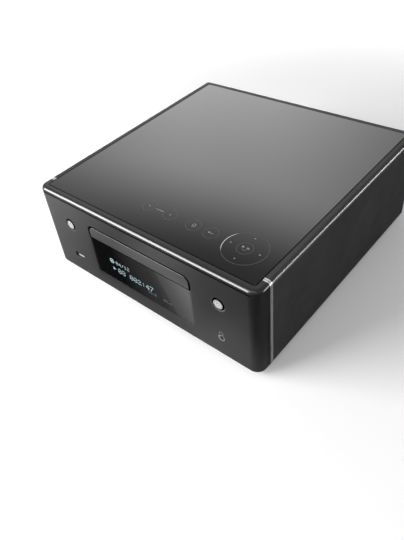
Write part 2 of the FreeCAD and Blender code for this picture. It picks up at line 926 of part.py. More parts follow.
def make_tray():
    """Disc tray: a rimmed well on hollow sides, with a slot for the disc drive and a rack below."""
    block = plan_block(-tray_half, tray_half, wall, tray_back_d, tray_z0, tray_z1, tray_corner_radius)
    pocket = slab(-tray_half + tray_skin, tray_half - tray_skin, wall + tray_skin, tray_back_d - tray_skin,
                  tray_z0 - past, tray_z1 - tray_skin)
    cup = post(0, spindle_d, tray_z0 - past, tray_z1, disc_recess_radius + tray_skin)
    tray = block.cut(pocket.cut(cup))
    rib_x1 = rack_x - tooth_root_depth * tooth_module
    rib_x0 = rib_x1 - rack_back - rack_root_wall
    rib = slab(rib_x0, rib_x1, wall + tray_skin - bite, tray_back_d - tray_skin + bite,
               tray_z0, tray_z1 - tray_skin + bite)
    tray = join(tray, [rib])
    well = post(0, spindle_d, disc_floor_z, tray_z1 + past, disc_recess_radius)
    small_well = post(0, spindle_d, disc_floor_z - small_recess_depth, tray_z1, small_recess_radius)
    slot_end = post(0, spindle_d, tray_z0 - past, tray_z1 + past, slot_width / 2.0)
    slot = slab(-slot_width / 2.0, slot_width / 2.0, spindle_d, tray_back_d + past,
                tray_z0 - past, tray_z1 + past)
    tray = tray.cut([well, small_well, slot_end, slot])
    teeth = rack(rack_x, rib_x0, loader_front_d, gear_d + tray_travel + rack_margin,
                 rack_z0, tray_z0, tooth_module, gear_d)
    save("disc_tray", join(tray, [teeth]))


def frame_opening():
    """Hole in the loader floor that the lift frame moves in."""
    half = frame_half_width + frame_gap
    return half, frame_front_d - frame_front_gap, frame_back_d + frame_back_gap


def make_loader_chassis():
    """Open frame that guides the tray and carries the gears, the lift frame and the clamp bridge."""
    floor_under = loader_floor_z - loader_sheet
    floor = slab(-loader_outer, loader_outer, loader_front_d, loader_back_d, floor_under, loader_floor_z)
    half, d0, d1 = frame_opening()
    floor = floor.cut(slab(-half, half, d0, d1, floor_under - past, loader_floor_z + past))
    adds = []
    side = slab(loader_inner, loader_outer, loader_front_d, loader_back_d, floor_under, loader_top_z)
    rail_z1 = tray_z0 - fit_gap
    rail = slab(loader_inner - rail_width, loader_inner + bite, loader_front_d, loader_back_d,
                rail_z1 - rail_height, rail_z1)
    adds += both_sides(side) + both_sides(rail)
    tab_z0 = tray_z1 + fit_gap
    tab_places = [loader_front_d + tab_front_inset] + [loader_back_d - inset for inset in tab_back_insets]
    for depth in tab_places:
        tab = slab(loader_inner - tab_width, loader_inner + bite, depth, depth + tab_length,
                   tab_z0, tab_z0 + tab_thickness)
        adds += both_sides(tab)
    leg_x = loader_outer - leg_inset
    leg_places = (loader_front_d + leg_radius + leg_front_gap, loader_back_d - leg_radius - leg_back_gap)
    for depth in leg_places:
        adds += both_sides(post(leg_x, depth, chassis_top_z, floor_under + bite, leg_radius))
    for x in (tray_gear_x, loading_gear_x):
        adds.append(post(x, gear_d, loader_floor_z - bite, gear_top_z, pin_radius))
    adds += both_sides(slab(half, half + lift_ear, lift_axis_d - lift_ear_reach, lift_axis_d + lift_ear_reach,
                            lift_axis_z - lift_ear_reach, lift_axis_z + lift_ear_reach))
    chassis = join(floor, adds)
    pin_hole = cross_bar(half - past, half + lift_ear + past, lift_axis_d, lift_axis_z,
                         lift_pin_radius + running_gap)
    shaft_hole = post(pinion_x, gear_d, floor_under - past, loader_floor_z + past,
                      motor_shaft_radius + shaft_hole_gap)
    save("loader_chassis", chassis.cut(both_sides(pin_hole) + [shaft_hole]))


def geared_wheel(x, teeth, half_turned):
    """Loader gear with a hub down to the loader floor and a bore for its pin."""
    wheel = gear(x, gear_d, gear_bottom_z, gear_top_z, tooth_module, teeth, half_turned)
    hub = post(x, gear_d, loader_floor_z + fit_gap, gear_bottom_z + bite, pin_radius + hub_wall)
    bore = post(x, gear_d, loader_floor_z - past, gear_top_z + past, pin_radius + running_gap)
    return join(wheel, [hub]).cut(bore)


def make_loader_gears():
    """Pinion, loading gear and tray gear, in mesh with each other and with the tray's rack."""
    save("tray_gear", geared_wheel(tray_gear_x, tray_gear_teeth, False))
    save("loading_gear", geared_wheel(loading_gear_x, loading_gear_teeth, True))
    wheel = gear(pinion_x, gear_d, gear_bottom_z, gear_top_z, tooth_module, pinion_teeth, False)
    shaft_z0 = loader_floor_z - loader_sheet - motor_height / 2.0
    shaft = post(pinion_x, gear_d, shaft_z0, gear_bottom_z + bite, motor_shaft_radius)
    save("motor_pinion", join(wheel, [shaft]))
    body_z1 = loader_floor_z - loader_sheet
    body = post(pinion_x, gear_d, body_z1 - motor_height, body_z1, motor_radius)
    bore = post(pinion_x, gear_d, shaft_z0 - fit_gap, body_z1 + past, motor_shaft_radius + running_gap)
    save("loading_motor", body.cut(bore))


def make_lift_frame():
    """Plastic frame on two pins that raises and lowers the disc drive."""
    half = frame_half_width
    frame = slab(-half, half, frame_front_d, frame_back_d, frame_z0, frame_z1)
    hollow = slab(-half + frame_bar, half - frame_bar, frame_front_d + frame_bar, frame_back_d - frame_bar,
                  frame_z0 - past, frame_z1 + past)
    frame = frame.cut(hollow)
    adds = []
    reach = damper_radius + damper_pad_margin
    for depth in damper_places():
        adds += both_sides(slab(damper_x() - reach, half - frame_bar + bite, depth - reach, depth + reach,
                                frame_z0, frame_z0 + frame_pad))
    adds += both_sides(cross_bar(half - bite, half + frame_gap + lift_ear, lift_axis_d, lift_axis_z,
                                 lift_pin_radius))
    save("lift_frame", join(frame, adds))


def damper_x():
    """Distance of each damper from the middle plane."""
    return frame_half_width - frame_bar - damper_radius - damper_inset


def damper_places():
    """Depths of the front and rear dampers."""
    return (frame_front_d + frame_bar + damper_front_inset, frame_back_d - frame_bar - damper_back_inset)


def make_deck():
    """Steel deck of the disc drive on four rubber dampers, with two rods for the sled."""
    half = frame_half_width - frame_bar - deck_inset
    d0 = frame_front_d + frame_bar + deck_inset
    d1 = frame_back_d - frame_bar - deck_inset
    deck = slab(-half, half, d0, d1, deck_z0, deck_z1)
    adds = []
    slot_half = rod_x + deck_slot_margin
    holes = [slab(-slot_half, slot_half, rod_first_d + deck_slot_inset, rod_last_d - deck_slot_inset,
                  deck_z0 - past, deck_z1 + past)]
    holes.append(post(0, spindle_d, deck_z0 - past, deck_z1 + past, motor_shaft_radius + shaft_hole_gap))
    for depth in (rod_first_d, rod_last_d - bracket_length):
        block = slab(rod_x - bracket_half_width, rod_x + bracket_half_width, depth, depth + bracket_length,
                     rod_z - bracket_half_width, deck_z0 + bite)
        adds += both_sides(block)
    deck = join(deck.cut(holes), adds)
    bore = barrel(rod_x, rod_z, rod_first_d - past, rod_last_d + past, rod_radius + press_gap)
    save("traverse_deck", deck.cut(both_sides(bore)))
    save("guide_rods", *both_sides(barrel(rod_x, rod_z, rod_first_d, rod_last_d, rod_radius)))
    dampers = []
    for depth in damper_places():
        dampers += both_sides(post(damper_x(), depth, frame_z0 + frame_pad, deck_z0, damper_radius))
    save("traverse_dampers", *dampers)


def make_spindle():
    """Spindle motor under the deck and the turntable on its shaft."""
    shaft_z0 = deck_z0 - spindle_motor_height + motor_end_wall
    body = post(0, spindle_d, deck_z0 - spindle_motor_height, deck_z0, spindle_motor_radius)
    bore = post(0, spindle_d, shaft_z0 - fit_gap, deck_z0 + past, motor_shaft_radius + running_gap)
    save("spindle_motor", body.cut(bore))
    platter = post(0, spindle_d, platter_z1 - platter_thickness, platter_z1, platter_radius)
    hub = post(0, spindle_d, platter_z1 - bite, platter_z1 + hub_height, hub_radius)
    hub = hub.makeChamfer(hub_chamfer, edges_at_height(hub, platter_z1 + hub_height))
    boss = post(0, spindle_d, deck_z1 + fit_gap, platter_z1 - platter_thickness + bite,
                motor_shaft_radius + spindle_boss_wall)
    shaft = post(0, spindle_d, shaft_z0, platter_z1 - bite, motor_shaft_radius)
    save("turntable", join(platter, [hub, boss, shaft]))


def make_sled():
    """Pickup sled on its two rods, with its lens, its rack and the gear that drives it."""
    low_z = rod_z - sled_half_height
    body = slab(-sled_half_width, sled_half_width, sled_front_d, sled_back_d, low_z, deck_z1 + sled_rise)
    adds = []
    for side in (-1, 1):
        x0, x1 = sorted((side * (sled_half_width - bite), side * rod_x))
        adds.append(slab(x0, x1, sled_front_d, sled_back_d, low_z, rod_z + sled_half_height))
        adds.append(barrel(side * rod_x, rod_z, sled_front_d, sled_back_d, rod_radius + sleeve_wall))
    rack_inner_x = feed_rack_x - feed_rack_back
    adds.append(slab(rod_x, rack_inner_x + bite, sled_front_d, sled_back_d, feed_rack_z0, rod_z))
    sled = join(body, adds)
    teeth = rack(feed_rack_x, rack_inner_x, feed_rack_front_d, feed_rack_back_d,
                 feed_rack_z0, feed_rack_z0 + feed_rack_height, feed_module, feed_gear_d)
    sled = join(sled, [teeth])
    bore = barrel(rod_x, rod_z, sled_front_d - past, sled_back_d + past, rod_radius + running_gap)
    save("pickup_sled", sled.cut(both_sides(bore)))
    lens_z1 = platter_z1 - lens_below_platter
    save("pickup_lens", post(0, spindle_d + lens_inner_radius, deck_z1 + sled_rise, lens_z1, lens_radius))
    make_feed_drive()


def make_feed_drive():
    """Feed gear on the shaft of its motor, which hangs from the deck on two pillars."""
    z1 = feed_rack_z0 + feed_rack_height - feed_gear_drop
    wheel = gear(feed_gear_x, feed_gear_d, feed_rack_z0, z1, feed_module, feed_teeth, False)
    plate_z1 = feed_rack_z0 - feed_motor_gap
    body_z0 = plate_z1 - feed_motor_height
    shaft_z0 = body_z0 + feed_shaft_inset
    shaft = post(feed_gear_x, feed_gear_d, shaft_z0, z1, motor_shaft_radius)
    save("feed_gear", join(wheel, [shaft]))
    body = post(feed_gear_x, feed_gear_d, body_z0, plate_z1, feed_motor_radius)
    reach = feed_gear_radius + feed_pillar_gap
    plate_reach = reach + feed_plate_margin
    plate = slab(feed_gear_x - feed_plate_half_width, feed_gear_x + feed_plate_half_width,
                 feed_gear_d - plate_reach, feed_gear_d + plate_reach, plate_z1 - sheet, plate_z1)
    pillars = []
    for depth in (feed_gear_d - reach, feed_gear_d + reach):
        pillars.append(post(feed_gear_x, depth, plate_z1 - bite, deck_z0, feed_pillar_radius))
    bore = post(feed_gear_x, feed_gear_d, shaft_z0 - fit_gap, plate_z1 + past,
                motor_shaft_radius + running_gap)
    save("feed_motor", join(body, [plate] + pillars).cut(bore))


def make_clamp():
    """Bridge over the tray, and the clamper that hangs in it."""
    bridge_z0 = loader_top_z
    bridge_z1 = bridge_z0 + bridge_thickness
    bridge = slab(-loader_outer, loader_outer, spindle_d - bridge_width / 2.0, spindle_d + bridge_width / 2.0,
                  bridge_z0, bridge_z1)
    hole = post(0, spindle_d, bridge_z0 - past, bridge_z1 + past, clamper_hub_radius + clamper_hole_gap)
    save("clamp_bridge", bridge.cut(hole))
    flange_z0 = bridge_z1 + clamper_rest_gap
    flange = post(0, spindle_d, flange_z0, flange_z0 + clamper_thickness, clamper_radius)
    hub = post(0, spindle_d, bridge_z0 - clamper_reach, flange_z0 + bite, clamper_hub_radius)
    save("clamper", join(flange, [hub]))


def foot_places():
    """Centres of the four feet."""
    return [(-foot_x, front_foot_d), (foot_x, front_foot_d), (-foot_x, rear_foot_d), (foot_x, rear_foot_d)]


def make_feet():
    """Four round feet, each with a rubber pad in its sole."""
    feet = []
    pads = []
    sole_z = pad_height - pad_recess
    for x, depth in foot_places():
        foot = post(x, depth, sole_z, floor_z, foot_radius)
        foot = foot.makeChamfer(foot_chamfer, edges_at_height(foot, sole_z))
        feet.append(foot.cut(post(x, depth, sole_z - past, pad_height, pad_radius + pad_gap)))
        pads.append(post(x, depth, 0.0, pad_height, pad_radius))
    save("feet", *feet)
    save("foot_pads", *pads)


def spacer_places():
    """Spacers under the three boards, as x and depth."""
    places = []
    side_x = (side_board_gap + spacer_inset, side_board_outer - spacer_inset)
    for x in side_x:
        for depth in (side_board_front_d + spacer_end_inset, side_board_back_d - spacer_end_inset):
            places += [(x, depth), (-x, depth)]
    main_x = main_board_half_width - spacer_inset
    for depth in (main_board_front_d + spacer_end_inset, main_board_back_d - main_spacer_rear_inset):
        places += [(main_x, depth), (-main_x, depth)]
    return places


def make_chassis():
    """Bottom pan with vents, a rear flange, side flanges and spacers for the boards."""
    edge = inner_half - fit_gap
    d0 = panel_depth + fit_gap
    floor = slab(-edge, edge, d0, rear_inner_d, floor_z, chassis_top_z)
    tongue_half = edge - corner_radius
    adds = [slab(-tongue_half, tongue_half, wall + chassis_front_gap, d0 + bite, floor_z, chassis_top_z)]
    flange_half = edge - chassis_flange_inset
    adds.append(slab(-flange_half, flange_half, rear_inner_d - sheet, rear_inner_d,
                     floor_z, chassis_top_z + flange_reach))
    adds += both_sides(slab(edge - sheet, edge, d0, rear_inner_d - boss_length,
                            floor_z, chassis_top_z + side_flange_reach))
    for x, depth in spacer_places():
        adds.append(post(x, depth, chassis_top_z - bite, board_z, spacer_radius))
    pan = join(floor, adds)
    pan = pan.cut(bottom_screw_holes() + vent_slots())
    holes = []
    for x, z in rear_screw_places()[2:]:
        holes.append(barrel(x, z, rear_inner_d - sheet - past, rear_inner_d + past, screw_hole_radius))
    save("bottom_chassis", pan.cut(holes))


def vent_slots():
    """Rows of vents under the amplifier board and the power board."""
    slots = []
    centre_x = (side_board_gap + side_board_outer) / 2.0
    for index in range(vent_count):
        depth = vent_first_d + vent_step * index
        bar = slab(centre_x - vent_length / 2.0, centre_x + vent_length / 2.0,
                   depth - vent_width / 2.0, depth + vent_width / 2.0, floor_z - past, chassis_top_z + past)
        slots += both_sides(bar)
    return slots


def make_rear_panel():
    """Rear wall with an opening for each socket."""
    edge = inner_half - fit_gap
    panel = slab(-edge, edge, rear_inner_d, rear_d, floor_z + fit_gap, ceiling_z - fit_gap)
    holes = []
    d0 = rear_inner_d - past
    d1 = rear_d + past
    for x, z, width, height in rear_cuts():
        holes.append(centred_block(x, z, width + 2 * socket_gap, height + 2 * socket_gap, d0, d1))
    for x, rise in phono_places:
        holes.append(barrel(x, base_z + rise, d0, d1, phono_ring_radius + socket_gap))
    for x in (-aerial_rod_x, aerial_rod_x):
        holes.append(barrel(x, aerial_rod_z, d0, d1, knuckle_radius + socket_gap))
    for x, z in rear_screw_places():
        holes.append(barrel(x, z, d0, d1, screw_hole_radius))
    for column in range(rear_vent_count):
        vent_x = rear_vent_first_x + rear_vent_step * column
        holes.append(slab(vent_x, vent_x + rear_vent_width, d0, d1,
                          rear_vent_z1 - rear_vent_height, rear_vent_z1))
    save("rear_panel", panel.cut(holes))


def rear_cuts():
    """Square openings in the rear wall, as centre, width and height."""
    cuts = [(mains_x, base_z + mains_rise, mains_width, mains_height)]
    cuts.append((network_x, base_z + network_rise, network_width, network_height))
    for x in optical_x:
        cuts.append((x, base_z + optical_rise, optical_size, optical_size))
    cuts.append((aerial_x, base_z + aerial_rise, aerial_socket_size, aerial_socket_size))
    cuts.append((terminal_block_x + terminal_block_width / 2.0, base_z + terminal_rise,
                 terminal_back_width, terminal_back_height))
    return cuts


def make_mains_inlet():
    """Two-pin mains inlet."""
    z = base_z + mains_rise
    body = centred_block(mains_x, z, mains_width, mains_height, rear_d - mains_depth, rear_d)
    front_d = rear_d + socket_flange
    flange = centred_block(mains_x, z, mains_width + 2 * mains_flange_margin,
                           mains_height + 2 * mains_flange_margin, rear_d, front_d)
    radius = (mains_well_height - mains_well_straight) / 2.0
    well = rounded_block(mains_x - mains_well_width / 2.0, mains_x + mains_well_width / 2.0,
                         z - mains_well_height / 2.0, z + mains_well_height / 2.0,
                         front_d - mains_well_depth, front_d + past, radius, radius)
    body = join(body, [flange]).cut(well)
    pins = []
    for side in (-1, 1):
        pins.append(barrel(mains_x + side * mains_pin_spacing / 2.0, z,
                           front_d - mains_well_depth - bite, rear_d - mains_pin_recess, mains_pin_radius))
    save("mains_inlet", join(body, pins))


def make_network_socket():
    """Network socket with an open well."""
    z = base_z + network_rise
    front_d = rear_d + network_lip
    body = centred_block(network_x, z, network_width, network_height, rear_d - network_depth, front_d)
    well = centred_block(network_x, z, network_well_width, network_well_height,
                         front_d - network_well_depth, front_d + past)
    save("network_socket", body.cut(well))


def make_optical_inputs():
    """Two optical inputs, each with a shutter set back in its face."""
    blocks = []
    for x in optical_x:
        block = centred_block(x, base_z + optical_rise, optical_size, optical_size,
                              rear_d - optical_depth, rear_d + socket_flange)
        shutter = centred_block(x, base_z + optical_rise, shutter_size, shutter_size,
                                rear_d, rear_d + socket_flange + past)
        blocks.append(block.cut(shutter))
    save("optical_inputs", *blocks)


def make_phono_sockets():
    """Phono sockets, each a bored barrel with a collar."""
    rings = []
    for x, rise in phono_places:
        end_d = rear_d + phono_reach
        ring = barrel(x, base_z + rise, rear_d - phono_depth, end_d, phono_ring_radius)
        collar = barrel(x, base_z + rise, rear_d, rear_d + phono_collar_thickness,
                        phono_ring_radius + phono_collar_margin)
        bore = barrel(x, base_z + rise, end_d - phono_bore_depth, end_d + past, phono_bore_radius)
        rings.append(join(ring, [collar]).cut(bore))
    save("phono_sockets", *rings)


def make_aerial_socket():
    """Aerial socket with a contact pin in its collar."""
    z = base_z + aerial_rise
    end_d = rear_d + aerial_socket_reach
    block = centred_block(aerial_x, z, aerial_socket_size, aerial_socket_size,
                          rear_d - aerial_socket_depth, rear_d + socket_flange)
    collar = barrel(aerial_x, z, rear_d, end_d, aerial_collar_radius)
    bore = barrel(aerial_x, z, rear_d + socket_flange, end_d + past, aerial_bore_radius)
    pin = barrel(aerial_x, z, rear_d + socket_flange - bite, end_d - aerial_contact_recess,
                 aerial_contact_radius)
    save("aerial_socket", join(join(block, [collar]).cut(bore), [pin]))


def knob_places():
    """Places of the speaker knobs from left to right."""
    first_x = terminal_block_x + terminal_end_gap
    return [first_x + terminal_spacing * index for index in range(terminal_count)]


def make_speaker_terminals():
    """Terminal block with four posts, and a screw knob on each post."""
    z = base_z + terminal_rise
    centre_x = terminal_block_x + terminal_block_width / 2.0
    plate_d = rear_d + terminal_plate
    block = centred_block(centre_x, z, terminal_block_width, terminal_block_height, rear_d, plate_d)
    back = centred_block(centre_x, z, terminal_back_width, terminal_back_height,
                         rear_d - terminal_depth, rear_d + bite)
    block = join(block, [back])
    knob_d0 = case_back_d - knob_length
    post_end_d = knob_d0 + knob_bore_length
    posts = []
    for x in knob_places():
        block = block.cut(barrel(x, z, rear_d - terminal_depth - past, plate_d + past, post_radius))
        stem = barrel(x, z, rear_d - stem_depth, post_end_d - fit_gap, post_radius)
        stem = join(stem, [barrel(x, z, plate_d, knob_d0 - fit_gap, knob_radius - stem_collar_inset)])
        posts.append(stem.cut(barrel(x, z, knob_d0, post_end_d, plug_bore_radius)))
    save("speaker_terminals", block, *posts)
    for number, x in enumerate(knob_places(), start=1):
        knob = barrel(x, z, knob_d0, case_back_d, knob_radius)
        knob = knob.makeChamfer(knob_chamfer, edges_at_depth(knob, case_back_d))
        cuts = [barrel(x, z, knob_d0 - past, post_end_d, post_radius + running_gap)]
        cuts.append(barrel(x, z, post_end_d - bite, case_back_d + past, plug_bore_radius))
        for flute in range(flute_count):
            angle = WHOLE * flute / flute_count
            cuts.append(barrel(x + knob_radius * math.cos(angle), z + knob_radius * math.sin(angle),
                               knob_d0 + flute_inset, case_back_d + past, flute_radius))
        save("speaker_knob_%d" % number, knob.cut(cuts))


def make_knuckle(x):
    """Knuckle of a rod aerial, fixed in the rear wall, with an eye for the hinge pin."""
    z = aerial_rod_z
    pivot_d = rear_d + aerial_arm
    half = aerial_tongue / 2.0
    base = barrel(x, z, rear_inner_d - knuckle_depth, rear_d + bite, knuckle_radius)
    collar = barrel(x, z, rear_d, rear_d + knuckle_collar_thickness, knuckle_collar_radius)
    arm = slab(x - half, x + half, rear_d + bite, pivot_d, z - knuckle_half_height, z + knuckle_half_height)
    eye = cross_bar(x - half, x + half, pivot_d, z, aerial_eye_radius)
    hole = cross_bar(x - half - past, x + half + past, pivot_d, z, aerial_pin_radius + running_gap)
    return join(base, [collar, arm, eye]).cut(hole)


def make_rod_aerial(x):
    """Tapered rod that hangs from a fork, with a pin through the knuckle's eye."""
    z = aerial_rod_z
    pivot_d = rear_d + aerial_arm
    near = aerial_tongue / 2.0 + aerial_ear_gap
    far = near + aerial_ear
    ear_radius = aerial_eye_radius - aerial_ear_inset
    pieces = []
    for x0, x1 in ((x - far, x - near), (x + near, x + far)):
        pieces.append(cross_bar(x0, x1, pivot_d, z, ear_radius))
        pieces.append(slab(x0, x1, pivot_d - ear_radius, pivot_d + ear_radius, z - aerial_ear_drop, z))
    pieces.append(cross_bar(x - far, x + far, pivot_d, z, aerial_pin_radius))
    crown_z0 = z - crown_drop - crown_height
    pieces.append(post(x, pivot_d, crown_z0, z - crown_drop, far))
    tip_z = base_z + aerial_tip_rise
    pieces.append(Part.makeCone(aerial_tip_radius, aerial_rod_radius, crown_z0 + bite - tip_z,
                                at(x, pivot_d, tip_z), Vector(0, 0, 1)))
    return join(pieces[0], pieces[1:])


def make_aerials():
    """Two hinged rod aerials, folded down behind the rear wall."""
    save("rod_aerial_left", make_rod_aerial(-aerial_rod_x))
    save("rod_aerial_right", make_rod_aerial(aerial_rod_x))
    save("aerial_knuckles", make_knuckle(-aerial_rod_x), make_knuckle(aerial_rod_x))


def board_part(edge_x, front_d, part):
    """Block on a board, placed from the board's reference corner."""
    x, depth, width, length, height = part
    z1 = board_z + board_thickness
    return slab(edge_x + x, edge_x + x + width, front_d + depth, front_d + depth + length, z1, z1 + height)


def make_boards():
    """Main, amplifier and power boards with their larger parts."""
    z0 = board_z
    z1 = z0 + board_thickness
    main = slab(-main_board_half_width, main_board_half_width, main_board_front_d, main_board_back_d, z0, z1)
    save("main_board", main, *[board_part(0.0, main_board_front_d, part) for part in main_parts])
    save("tuner_module", board_part(main_board_half_width, main_board_front_d, tuner_part))
    save("network_module", board_part(0.0, main_board_front_d, network_part))
    amplifier = slab(side_board_gap, side_board_outer, side_board_front_d, side_board_back_d, z0, z1)
    amplifier_chip = board_part(side_board_gap, side_board_front_d, amplifier_part)
    save("amplifier_board", amplifier, amplifier_chip)
    base = slab(heat_sink_x, heat_sink_x + heat_sink_base, heat_sink_front_d,
                heat_sink_front_d + heat_sink_length, z1, z1 + heat_sink_height)
    fins = []
    step = (heat_sink_length - fin_thickness) / (fin_count - 1)
    for index in range(fin_count):
        depth = heat_sink_front_d + step * index
        fins.append(slab(heat_sink_x + heat_sink_base - bite, heat_sink_x + heat_sink_base + fin_reach,
                         depth, depth + fin_thickness, z1 + fin_rise, z1 + heat_sink_height))
    save("heat_sink", join(base, fins))
    save("power_board", slab(-side_board_outer, -side_board_gap,
                             side_board_front_d, side_board_back_d, z0, z1))
    make_power_parts(z1)


def make_power_parts(z1):
    """Transformer and capacitors on the power board."""
    x = core_x - side_board_gap
    depth = side_board_front_d + core_d
    z = z1 + core_height / 2.0
    half = core_length / 2.0
    inner_height = core_height - 2 * core_bar
    core = centred_block(x, z, core_width, core_height, depth - half, depth + half)
    window = centred_block(x, z, core_width - 2 * core_bar, inner_height,
                           depth - half - past, depth + half + past)
    leg = centred_block(x, z, core_bar, core_height, depth - half, depth + half)
    half = coil_length / 2.0
    coil = centred_block(x, z, coil_width, inner_height - 2 * coil_gap, depth - half, depth + half)
    save("transformer", join(core.cut(window), [leg, coil]))
    cans = []
    for x, depth, radius, height in capacitor_cans:
        can = post(x - side_board_gap, side_board_front_d + depth, z1, z1 + height, radius)
        cans.append(can.makeFillet(can_edge_radius, edges_at_height(can, z1 + height)))
    save("capacitors", *cans)


def make_ribbons():
    """Flat ribbon cables from the front board to the main board and to the touch board."""
    d0 = front_board_d + board_thickness
    half = ribbon_width / 2.0
    plug = main_parts[-1]
    low_z = board_z + board_thickness + plug[4]
    first = slab(-half, half, d0, d0 + ribbon_thickness, low_z, low_z + ribbon_rise)
    first = join(first, [slab(-half, half, d0, main_board_front_d + plug[1] + plug[3] / 2.0,
                              low_z, low_z + ribbon_thickness)])
    x1 = touch_right_x - touch_ribbon_inset + touch_ribbon_width / 2.0
    x0 = x1 - touch_ribbon_width
    high_z1 = ceiling_z - fit_gap
    high_z0 = high_z1 - ribbon_thickness
    end_d = touch_front_d + touch_ribbon_reach
    second = slab(x0, x1, d0, d0 + ribbon_thickness, base_z + front_board_top - ribbon_overlap, high_z1)
    second = join(second, [slab(x0, x1, d0, end_d, high_z0, high_z1),
                           slab(x0, x1, end_d - ribbon_thickness, end_d, high_z0, plate_z - board_thickness)])
    save("ribbon_cables", first, second)


def pan_screw(point, direction):
    """Pan head screw, with its seat at a point and its shank along a direction."""
    shank = Part.makeCylinder(screw_radius, screw_length, point, direction)
    head = Part.makeCylinder(screw_head_radius, screw_head_height, point, -direction)
    top = point - direction * screw_head_height
    screw = join(head, [shank])
    across = Vector(1, 0, 0)
    other = direction.cross(across)
    for along, aside in ((across, other), (other, across)):
        corner = top - along * screw_slot_length / 2.0 - aside * screw_slot_width / 2.0
        ends = [corner, corner + along * screw_slot_length]
        ends += [ends[1] + aside * screw_slot_width, corner + aside * screw_slot_width, corner]
        screw = screw.cut(Part.Face(Part.makePolygon(ends)).extrude(direction * screw_slot_depth))
    return screw


def make_screws():
    """All case screws."""
    screws = [pan_screw(at(x, depth, base_z), Vector(0, 0, 1)) for x, depth in bottom_screw_places()]
    screws += [pan_screw(at(x, rear_d, z), Vector(0, -1, 0)) for x, z in rear_screw_places()]
    save("case_screws", *screws)


os.makedirs("parts", exist_ok=True)
make_front_panel()
make_cover()
make_trim()
make_top_plate()
make_window()
make_door()
make_buttons()
make_switches()
make_usb_socket()
make_headphone_jack()
make_front_board()
make_display()
make_touch_board()
make_tray()
make_loader_chassis()
make_loader_gears()
make_lift_frame()
make_deck()
make_spindle()
make_sled()
make_clamp()
make_feet()
make_chassis()
make_rear_panel()
make_mains_inlet()
make_network_socket()
make_optical_inputs()
make_phono_sockets()
make_aerial_socket()
make_speaker_terminals()
make_aerials()
make_boards()
make_ribbons()
make_screws()
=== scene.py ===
import math

import bmesh
import bpy
from mathutils import Matrix, Vector


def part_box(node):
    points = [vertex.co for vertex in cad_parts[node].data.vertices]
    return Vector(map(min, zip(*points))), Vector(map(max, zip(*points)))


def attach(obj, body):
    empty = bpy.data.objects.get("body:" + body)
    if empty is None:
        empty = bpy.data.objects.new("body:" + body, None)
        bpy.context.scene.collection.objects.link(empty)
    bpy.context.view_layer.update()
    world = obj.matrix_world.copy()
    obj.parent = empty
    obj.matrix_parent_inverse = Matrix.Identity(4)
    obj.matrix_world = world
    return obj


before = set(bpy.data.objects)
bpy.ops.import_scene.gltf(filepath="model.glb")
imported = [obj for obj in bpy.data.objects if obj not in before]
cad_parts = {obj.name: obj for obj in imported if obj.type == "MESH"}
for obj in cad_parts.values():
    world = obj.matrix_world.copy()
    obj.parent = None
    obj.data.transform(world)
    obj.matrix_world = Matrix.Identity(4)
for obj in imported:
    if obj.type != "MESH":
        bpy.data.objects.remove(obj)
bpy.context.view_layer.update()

MM = 0.001

# Directions of the frame, and the plane of the front
ACROSS = (1.0, 0.0, 0.0)
AHEAD = (0.0, 1.0, 0.0)
UP = (0.0, 0.0, 1.0)
FRONT_PLANE = (1.0, 0.0, 1.0)

# Reference places, read from the frame
panel_low, panel_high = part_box("front_panel")
plate_low, plate_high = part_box("top_plate")
window_low, window_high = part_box("display_window")
door_low, door_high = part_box("tray_door")
front_y = panel_low.y
base_z = panel_low.z
rear_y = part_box("rear_panel")[1].y


def middle(name):
    """Centre of one node's box."""
    low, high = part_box(name)
    return (low + high) / 2.0


def grey(tone):
    """Plain grey colour."""
    return (tone, tone, tone)


